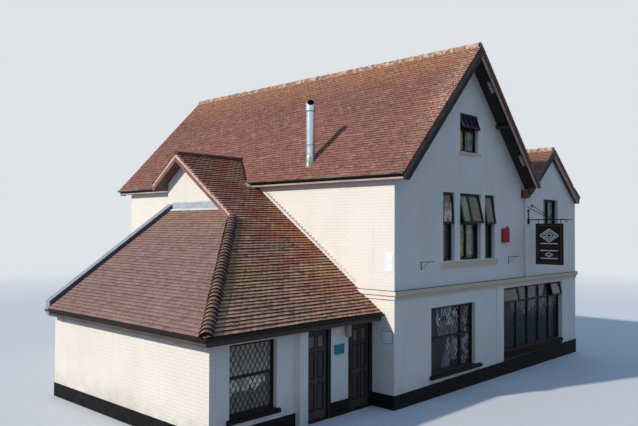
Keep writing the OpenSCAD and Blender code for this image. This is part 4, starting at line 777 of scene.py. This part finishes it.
def lay_tiles(slope, width, first, last, left, right, seed, hole=None, wander=0.004,
              build=FLAT_BUILD, gauge=GAUGE):
    """Points and tones of the tiles between two edges, which are functions of s.

    hole gives the two ends of a stretch with no tiles for each s. wander is how far the
    courses and their heights stray from true. Rows are laid past both edges and cut back.
    """
    front, rear, thick = build
    spare = 4 * TILE_W
    under_set = 0.004
    past_last = 0.02
    chance = np.random.default_rng(seed)
    places = []
    for k, s in enumerate(tile_rows(first, last, gauge)):
        start = -spare + (k % 2) * TILE_W / 2
        us = np.arange(start, width + spare, TILE_W)
        if k == 0:
            places += [(u + TILE_W / 2, s + under_set, -thick) for u in us]
        places += [(u, s, 0.0) for u in us]
    places = np.array(places)
    count = len(places)
    centre_u = places[:, 0] + chance.uniform(-0.002, 0.002, count)
    start_s = places[:, 1] + chance.uniform(-0.003, 0.003, count)
    skew = chance.uniform(-0.002, 0.002, count)
    lift = places[:, 2] + chance.uniform(-0.0015, 0.002, count)
    tone = np.clip(chance.normal(0.5, 0.24, count), 0, 1)

    side, back, rise = TILE_POINTS.T
    u = centre_u[:, None] + side * (TILE_W - TILE_GAP) / 2
    s = start_s[:, None] + back * TILE_LENGTH + skew[:, None] * side
    relief = np.where(rise > 0, TILE_CAMBER, np.where(rise < 0, -thick, 0.0))
    h = front + (rear - front) * back + relief + lift[:, None]
    s = s + wander * np.sin(1.1 * u + 2.3 * np.floor(start_s / gauge)[:, None])
    h = h + wander * np.sin(0.7 * u + 1.9 * s) * 0.7

    s = np.minimum(s, last + past_last)
    u = np.clip(u, left(s), right(s))
    if hole is not None:
        open_low, open_high = hole(s)
        inside = (u > open_low) & (u < open_high)
        nearer_low = centre_u[:, None] < (open_low + open_high) / 2
        u = np.where(inside, np.where(nearer_low, open_low, open_high), u)
    least_width, least_length = LEAST_TILE
    kept = (u[:, 2] - u[:, 0] > least_width) & (s[:, 5] - s[:, 0] > least_length)
    points = slope.at(u[kept], s[kept], h[kept])
    return points.reshape(-1, 3), np.repeat(tone[kept], len(TILE_POINTS))


def note(made, **values):
    """Values for each point of a piece, under the names that tile finishes read."""
    for name, row in values.items():
        attribute = made.data.attributes.new(name, "FLOAT", "POINT")
        attribute.data.foreach_set("value", np.asarray(row, np.float32))


def tiled(name, slot, *layers):
    """One piece from one or more layers of tiles."""
    points, tones = (np.concatenate(parts) for parts in zip(*layers))
    count = len(points) // len(TILE_POINTS)
    made = piece(name, points, copies(count, len(TILE_POINTS), TILE_FACES), slot)
    note(made, tone=tones, edge=np.tile(1.0 - TILE_POINTS[:, 1], count))


def constant(value):
    return lambda s: np.full_like(s, value)


def verge_to_verge(slope, first, seed, cover=RIDGE_COVER, hole=None):
    """Tiles of a slope that ends in a verge on both sides."""
    return lay_tiles(
        slope, slope.width, first, slope.length - cover, constant(-VERGE),
        constant(slope.width + VERGE), seed, hole)


main_west = west_or_east("main_west_slope", 1)
main_east = west_or_east("main_east_slope", -1)
wing_west = west_or_east("wing_west_slope", 1)
main_toe_x, main_toe_y, main_toe_z = main_west.toe
main_fall = main_west.up[2] / main_west.up[0]

low_foot, low_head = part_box("low_south_slope")
hip_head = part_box("low_hip_slope")[1]
north_verge, north_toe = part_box("low_north_slope")
verge_x = north_verge.x
low_toe = (low_foot.x, low_foot.y, level_at("low_south_slope", 1, low_foot.y))
toe_x, toe_y, low_toe_z = low_toe
low_south = Slope(low_toe, (1, 0, 0), (toe_x, low_head.y, low_head.z))
low_hip = Slope(low_toe, (0, 1, 0), (hip_head.x, toe_y, level_at("low_hip_slope", 0, hip_head.x)))
low_north = Slope(
    (verge_x, north_toe.y, level_at("low_north_slope", 1, north_toe.y)), (1, 0, 0),
    (verge_x, low_head.y, low_head.z))
low_rise = low_south.up[2]
low_run = low_south.up[1]
hip_width = hip_head.y - toe_y
gablet_u = verge_x - VERGE - toe_x


def roof_edge(slope):
    """Where rows of a lower slope end: at the long wall, the main eaves or the main slope."""
    def edge(s):
        z = slope.toe[2] + s * low_rise
        wall_x = CORNER.x - WALL_GAP
        eaves_x = main_toe_x - EAVES_GAP
        roof_x = main_toe_x + (z - main_toe_z) / main_fall
        x = np.where(z < main_toe_z - MAIN_FASCIA, wall_x, np.where(z < main_toe_z, eaves_x, roof_x))
        return x - slope.toe[0]
    return edge


def low_roof_hole(s):
    """The stretch of the main slope that the lower roof hides."""
    z = main_toe_z + s * main_west.up[2]
    half = np.maximum(0.0, (low_head.z - z) / (low_rise / low_run))
    return low_head.y - half - main_toe_y, low_head.y + half - main_toe_y


tiled("main_west_tiles", "main_tiles", verge_to_verge(main_west, -EAVES_DROP, 11, hole=low_roof_hole))
tiled("main_east_tiles", "main_tiles", verge_to_verge(main_east, HIGH_START, 12))
tiled("wing_west_tiles", "main_tiles", verge_to_verge(wing_west, HIGH_START, 13))

# The second gable's outer slope is steeper above a knee than in its sprocket below
wing_low, wing_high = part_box("wing_east_slope")
knee_x = sorted({round(v.co.x, 4) for v in frame["nodes"]["wing_east_slope"].data.vertices})[1]
wing_toe, knee, wing_head = (
    (x, wing_low.y, level_at("wing_east_slope", 0, x)) for x in (wing_high.x, knee_x, wing_low.x))
sprocket = Slope(wing_toe, (0, 1, 0), knee, wing_west.width)
wing_east = Slope(knee, (0, 1, 0), wing_head, wing_west.width)
sprocket_rows = len(tile_rows(-EAVES_DROP, sprocket.length))
knee_start = sprocket_rows * GAUGE - EAVES_DROP - sprocket.length
tiled("wing_east_tiles", "main_tiles",
      verge_to_verge(sprocket, -EAVES_DROP, 14, cover=0.0), verge_to_verge(wing_east, knee_start, 15))

tiled("low_south_tiles", "low_tiles", lay_tiles(
    low_south, SOUTH_WIDTH, -EAVES_DROP, low_south.length - RIDGE_COVER,
    lambda s: np.minimum(s * low_run, gablet_u), roof_edge(low_south), 16, wander=0.008,
    build=ROUGH_BUILD, gauge=LOW_GAUGE))
tiled("low_hip_tiles", "hip_tiles", lay_tiles(
    low_hip, hip_width, -EAVES_DROP, low_hip.length, lambda s: s * low_run,
    constant(hip_width - KERB_GAP), 17, gauge=LOW_GAUGE))
tiled("low_north_tiles", "low_tiles", lay_tiles(
    low_north, NORTH_WIDTH, -EAVES_DROP, low_north.length - RIDGE_COVER, constant(-VERGE),
    roof_edge(low_north), 18, gauge=LOW_GAUGE))


def hip_bonnets():
    """Bonnet tiles along the hip, a thin shell over each tooth of the node's capping."""
    low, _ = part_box("bonnet_tiles")
    line = np.array([1.0, 1.0, low_rise / low_run])
    climb = line / np.linalg.norm(line)
    out = low_south.out + low_hip.out
    out /= np.linalg.norm(out)
    across = np.cross(climb, out)
    step = BONNET_STEP / 2 * np.linalg.norm(line)
    count = int((verge_x - low.x - 0.05) / (BONNET_STEP / 2))
    sink = 0.017
    thick = 0.012
    # The front's place and radius, and the back's
    front, back = (-0.012, 0.147), (1.25 * step, 0.111)
    bend = math.radians(84)
    steps = 10
    ring = steps + 1
    chance = random.Random(21)
    points = []
    tones = []
    for k in range(count):
        base = low_south.toe + climb * (k * step) - out * sink
        turn = chance.uniform(-0.1, 0.1)
        swell = chance.uniform(-0.003, 0.01)
        tones += [min(1.0, max(0.0, chance.gauss(0.45, 0.25)))] * (4 * ring)
        for (along, reach), share in ((front, 1.0), (back, 0.3)):
            for radius in (reach + share * swell, reach + share * swell - thick):
                for i in range(ring):
                    angle = bend * (2 * i / steps - 1) + turn
                    side = math.sin(angle) * radius
                    crown = math.cos(angle) * radius
                    points.append(base + climb * along + across * side + out * crown)
    faces = []
    for i in range(steps):
        front_top, front_low, back_top, back_low = (i + skin * ring for skin in range(4))
        faces += [
            (front_top, back_top, back_top + 1, front_top + 1),
            (front_low, front_low + 1, back_low + 1, back_low),
            (front_top, front_top + 1, front_low + 1, front_low),
            (back_top, back_low, back_low + 1, back_top + 1)]
    faces += [(0, ring, 3 * ring, 2 * ring), (ring - 1, 3 * ring - 1, 4 * ring - 1, 2 * ring - 1)]
    made = piece(
        "hip_bonnet_tiles", points, copies(count, 4 * ring, faces), "bonnet_clay", finish="bonnet_tile")
    note(made, tone=tones, edge=([1.0] * (2 * ring) + [0.0] * (2 * ring)) * count)


hip_bonnets()


def strip(slope, spans, rows, heights):
    """Corners of bars that lie on a slope, for spans of u and how far each grows downhill."""
    s0, s1 = rows
    return [
        slope.at(u, s, h) for u0, u1, grow in spans for h in heights
        for u, s in ((u0, s0 - grow), (u1, s0 - grow), (u1, s1), (u0, s1))]


LONG_SLOPES = [main_west, main_east, wing_west, wing_east]
# Heights above the slab of the beds of mortar and of the pieces of lead
VERGE_BED = (0.0005, 0.02)
RIDGE_BED = (0.02, 0.05)
VALLEY_LEAD = (0.0005, 0.005)
SHADOW_SOAKER = (0.03, 0.075)
APRON = (0.043, 0.048)
SADDLE = (0.06, 0.066)
# Width of the bed at a verge, and how far it stands back from the tiles' ends
BED_WIDTH = 0.1
BED_BACK = 0.014


def beddings():
    """Mortar under the ridge tiles, in uneven lengths, and under the tiles at the verges."""
    chance = random.Random(31)
    points = []
    for slope in LONG_SLOPES:
        spans = []
        u = 0.0
        while u < slope.width:
            step = chance.uniform(0.08, 0.16)
            spans.append((u, min(u + step, slope.width), chance.uniform(0.0, 0.035)))
            u += step
        points += strip(slope, spans, (slope.length - 0.115, slope.length - RIDGE_COVER), RIDGE_BED)
    past = BED_BACK - VERGE
    for slope in LONG_SLOPES + [sprocket]:
        for u0, u1 in ((past, BED_WIDTH), (slope.width - BED_WIDTH, slope.width - past)):
            points += strip(slope, [(u0, u1, 0.0)], (0.0, slope.length), VERGE_BED)
    gablet = [(gablet_u + BED_BACK, gablet_u + 0.15, 0.0)]
    points += strip(low_south, gablet, ((verge_x - toe_x) / low_run, low_south.length), VERGE_BED)
    points += strip(low_north, [(past, BED_WIDTH, 0.0)], (0.0, low_north.length), VERGE_BED)
    blocks("roof_mortar", points, "ridge_clay", finish="mortar")


def valley_lead():
    """Lead in the long valley between the two roofs."""
    reach = 0.2
    points = []
    for slope in (main_east, wing_west):
        points += strip(slope, [(0.0, slope.width, 0.0)], (0.0, reach), VALLEY_LEAD)
    blocks("valley_lead", points, "lead")


def abutment_lead_shadow():
    """A dark strip of lead where the lower roof runs into the main slope, on both of its sides, coloured as
    painted shadow in the gap along the join.
    """
    width = 0.055
    low_z = main_toe_z + 0.02
    high_z = low_head.z - 0.08
    points = []
    for slope in (low_south, low_north):
        edge = roof_edge(slope)
        foot, head = ((z - slope.toe[2]) / low_rise for z in (low_z, high_z))
        points += [
            slope.at(float(edge(s)) + side, s, h) for h in SHADOW_SOAKER
            for s, side in ((foot, -width), (foot, 0.0), (head, 0.0), (head, -width))]
    blocks("abutment_lead_shadow", points, "lead", finish="dark_lead")


def dressed_lead():
    """The apron's foot, dressed over the tiles of the hipped end, and a saddle by the main gutter."""
    apron_start = 3.9
    apron = strip(
        low_hip, [(apron_start, hip_width - 0.01, 0.0)],
        (low_hip.length - 0.11, low_hip.length - 0.004), APRON)
    size = 0.2
    head = (main_toe_z - 0.1 - low_toe_z) / low_rise
    end = main_toe_x - toe_x
    saddle = strip(low_south, [(end - size, end - 0.012, 0.0)], (head - size, head), SADDLE)
    blocks("dressed_lead", apron + saddle, "lead", finish="pale_lead")


beddings()
valley_lead()
abutment_lead_shadow()
dressed_lead()


def islands(node):
    """Lowest and highest corners of each separate solid of a node."""
    mesh = bmesh.new()
    mesh.from_mesh(frame["nodes"][node].data)
    bmesh.ops.remove_doubles(mesh, verts=mesh.verts, dist=0.0002)
    left = set(mesh.verts)
    found = []
    while left:
        group = {left.pop()}
        edge = set(group)
        while edge:
            edge = {e.other_vert(v) for v in edge for e in v.link_edges} - group
            group |= edge
        left -= group
        found.append([Vector([pick(v.co[i] for v in group) for i in range(3)]) for pick in (min, max)])
    mesh.free()
    return sorted(found, key=lambda pair: (round(pair[0].z, 2), round(pair[0].x, 2)))


# Cell of a diamond-leaded light, the shortest came that is made, and a came's width and depth
CELL = (0.125, 0.2)
LEAST_CAME = 0.02
CAME = (0.011, 0.004)
FRONT_OF_GLASS = 0.008
# Only low lights are leaded, and of those only panes that stand upright and shut
LEADED_TOP = 2.6
FLAT_PANE = 0.01
# Least width of the shop front's pane, and the bars in front of it
SHOP_LEAST = 3.0
SHOP_MULLIONS = (6.18, 6.9175, 7.655, 8.3925)
SHOP_TRANSOM = 2.04
HALF_BAR = 0.025


def diamonds(x0, x1, z0, z1, y):
    """Lead cames of a diamond-leaded light, as pairs of end points in the plane y."""
    runs = []
    cell_w, cell_h = CELL
    steep = cell_h / cell_w
    reach = (z1 - z0) / steep
    start = x0 - reach
    while start < x1:
        for foot, head in ((start, start + reach), (start + reach, start)):
            foot_x, head_x = (min(max(x, x0), x1) for x in (foot, head))
            foot_z = z0 + abs(foot - foot_x) * steep
            head_z = z1 - abs(head - head_x) * steep
            if head_z - foot_z > LEAST_CAME:
                runs.append(((foot_x, y, foot_z), (head_x, y, head_z)))
        start += cell_w
    return runs


def leaded_lights():
    """Diamond cames in front of the glass of the low windows, light by light."""
    runs = []
    for low, high in islands("street_glass"):
        if high.z > LEADED_TOP or high.y - low.y > FLAT_PANE:
            continue
        edges = [low.x, high.x]
        top = high.z
        if high.x - low.x > SHOP_LEAST:
            top = SHOP_TRANSOM - HALF_BAR
            edges += [CORNER.x + x + side for x in SHOP_MULLIONS for side in (-HALF_BAR, HALF_BAR)]
        edges.sort()
        for x0, x1 in zip(edges[::2], edges[1::2]):
            runs += diamonds(x0, x1, low.z, top, low.y - FRONT_OF_GLASS)
    bars("leaded_lights", runs, *CAME, (0, -1, 0), "glass", finish="came_lead")


leaded_lights()


# Door leaves, and the heights of their foot, their head and their panels above the ground
LEAF_W = 0.684
LEAF_T = 0.044
STILE = 0.105
MUNTIN = 0.09
LEAF_LOW = 0.045
LEAF_HIGH = 1.975
PANEL_ROWS = [
    (LEAF_LOW + 0.2, LEAF_LOW + 0.79), (LEAF_LOW + 0.9, LEAF_HIGH - 0.46),
    (LEAF_HIGH - 0.38, LEAF_HIGH - 0.1)]
# Width of a moulding, its lap on the stile, and how far it and a pane go past the leaf's face
BEAD = 0.018
LAP = 0.004
BEAD_DEPTHS = (-0.006, 0.012)
PANE_DEPTHS = (0.002, 0.011)


def door_trim(name, free_side):
    """Mouldings round the panels of a leaf, and panes in the top ones. free_side is 1 towards +X."""
    low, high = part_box(name)
    x0 = high.x - LEAF_W if free_side > 0 else low.x
    panel_w = (LEAF_W - 2 * STILE - MUNTIN) / 2
    beads, panes = [], []
    for z0, z1 in PANEL_ROWS:
        for i in (0, 1):
            px0 = x0 + STILE + i * (panel_w + MUNTIN)
            px1 = px0 + panel_w
            for face, way in ((low.y, 1), (low.y + LEAF_T, -1)):
                y0, y1 = sorted(face + way * depth for depth in BEAD_DEPTHS)
                beads += [
                    ((px0 - LAP, y0, z0 - LAP), (px0 + BEAD, y1, z1 + LAP)),
                    ((px1 - BEAD, y0, z0 - LAP), (px1 + LAP, y1, z1 + LAP)),
                    ((px0 + BEAD, y0, z0 - LAP), (px1 - BEAD, y1, z0 + BEAD)),
                    ((px0 + BEAD, y0, z1 - BEAD), (px1 - BEAD, y1, z1 + LAP))]
                if (z0, z1) == PANEL_ROWS[-1]:
                    y0, y1 = sorted(face + way * depth for depth in PANE_DEPTHS)
                    panes.append(((px0 + BEAD, y0, z0 + BEAD), (px1 - BEAD, y1, z1 - BEAD)))
    boxes(name + "_mouldings", beads, "door_wood", body=name, finish="door_moulding")
    boxes(name + "_panes", panes, "glass", body=name, finish="frosted")


door_trim("left_door", 1)
door_trim("right_door", -1)


# Bare plates where the photograph has small notices, and a service box: finish and corners
PLATES = {
    "bare_plates": ("plate_white", [
        ((-0.01, 0.068, 3.2), (0.0, 0.303, 3.63)), ((-0.01, 0.095, 1.53), (0.0, 0.359, 1.8))]),
    "plate_back": ("plate_blue", [((-0.006, 0.083, 1.518), (0.0, 0.371, 1.812))]),
    "service_box": ("box_beige", [((-1.0, 0.58, 1.75), (-0.878, 0.657, 2.08))]),
    "pier_plate": ("plate_teal", [((-1.355, 0.647, 1.384), (-1.049, 0.657, 1.603))]),
}

for plate, (plate_finish, corners) in PLATES.items():
    corners = [(CORNER + Vector(a), CORNER + Vector(b)) for a, b in corners]
    boxes(plate, corners, "wall_paint", finish=plate_finish)


def sign_trim():
    """Plain ornament on both faces of the hanging board: a border, lozenges, rules and bands."""
    low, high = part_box("sign_board")
    foot = low.z
    head = low.z + 1.23
    middle = (low.y + high.y) / 2
    inset = 0.06

    def outline(corners):
        return list(zip(corners, corners[1:] + corners[:1]))

    def level(half, z):
        return (middle - half, z), (middle + half, z)

    y0, y1, z0, z1 = low.y + inset, high.y - inset, foot + inset, head - inset
    border = outline([(y0, z0), (y1, z0), (y1, z1), (y0, z1)])
    shapes = []
    for half, tall, z in (
            (0.29, 0.19, head - 0.36), (0.2, 0.13, head - 0.36), (0.1, 0.065, head - 0.36),
            (0.13, 0.05, foot + 0.3)):
        shapes += outline([(middle - half, z), (middle, z - tall), (middle + half, z), (middle, z + tall)])
    shapes += [level(0.27, z) for z in (head - 0.6, foot + 0.42, foot + 0.19)]
    bands = [level(0.3, head - 0.7), level(0.24, foot + 0.12)]
    for x, way, side in ((low.x, -1, "left"), (high.x, 1, "right")):
        for part, runs, width, finish in (
                ("border", border, 0.012, "sign_line"), ("ornament", shapes, 0.034, "sign_pale"),
                ("bands", bands, 0.06, "sign_red")):
            ends = [((x, ya, za), (x, yb, zb)) for (ya, za), (yb, zb) in runs]
            bars(f"sign_{part}_{side}", ends, width, 0.003, (way, 0, 0), "sign_wood",
                 body="sign_board", finish=finish)


sign_trim()


def studio():
    """Floor, sun and sky."""
    mesh = bpy.data.meshes.new("studio_floor")
    corners = [(x * FLOOR_REACH, y * FLOOR_REACH, 0.0) for x, y in ((-1, -1), (1, -1), (1, 1), (-1, 1))]
    mesh.from_pydata(corners, [], [(0, 1, 2, 3)])
    mesh.materials.append(floor_finish("studio_floor"))
    ground = placed("studio_floor", mesh)
    ground.location.z = -FLOOR_DROP

    lamp = bpy.data.lights.new("sun", "SUN")
    lamp.energy = SUN_STRENGTH
    lamp.angle = math.radians(2.0)
    lamp.color = SUN_COLOUR
    placed("sun", lamp).rotation_euler = SUN_FROM.to_track_quat("Z", "Y").to_euler()

    world = bpy.data.worlds.new("studio_sky")
    bpy.context.scene.world = world
    world.use_nodes = True
    sky = Nodes(world.node_tree)
    fill = sky.add("Background", {"Color": SKY_COLOUR, "Strength": SKY_STRENGTH}).outputs[0]
    backdrop = sky.add("Background", {"Color": srgb(BACKDROP)}).outputs[0]
    both = sky.add("MixShader", {0: sky.plain_sight(), 1: fill, 2: backdrop})
    sky.tree.links.new(both.outputs[0], sky.tree.nodes["World Output"].inputs["Surface"])


def aim_camera():
    """The camera of the photograph."""
    level_right = Vector((math.cos(YAW), -math.sin(YAW), 0.0))
    ahead = Vector((math.sin(YAW) * math.cos(PITCH), math.cos(YAW) * math.cos(PITCH), math.sin(PITCH)))
    level_up = level_right.cross(ahead)
    right = math.cos(ROLL) * level_right + math.sin(ROLL) * level_up
    up = -math.sin(ROLL) * level_right + math.cos(ROLL) * level_up
    data = bpy.data.cameras.new("camera")
    data.sensor_width = SENSOR
    data.lens = FOCAL_PIXELS * SENSOR / PHOTO_WIDTH
    data.clip_end = 500.0
    camera = placed("camera", data)
    columns = [(*axis, 0.0) for axis in (right, up, -ahead)] + [(*(EYE + CORNER), 1.0)]
    camera.matrix_world = Matrix(columns).transposed()
    bpy.context.scene.camera = camera


studio()
aim_camera()
bpy.context.scene.view_settings.view_transform = "Standard"
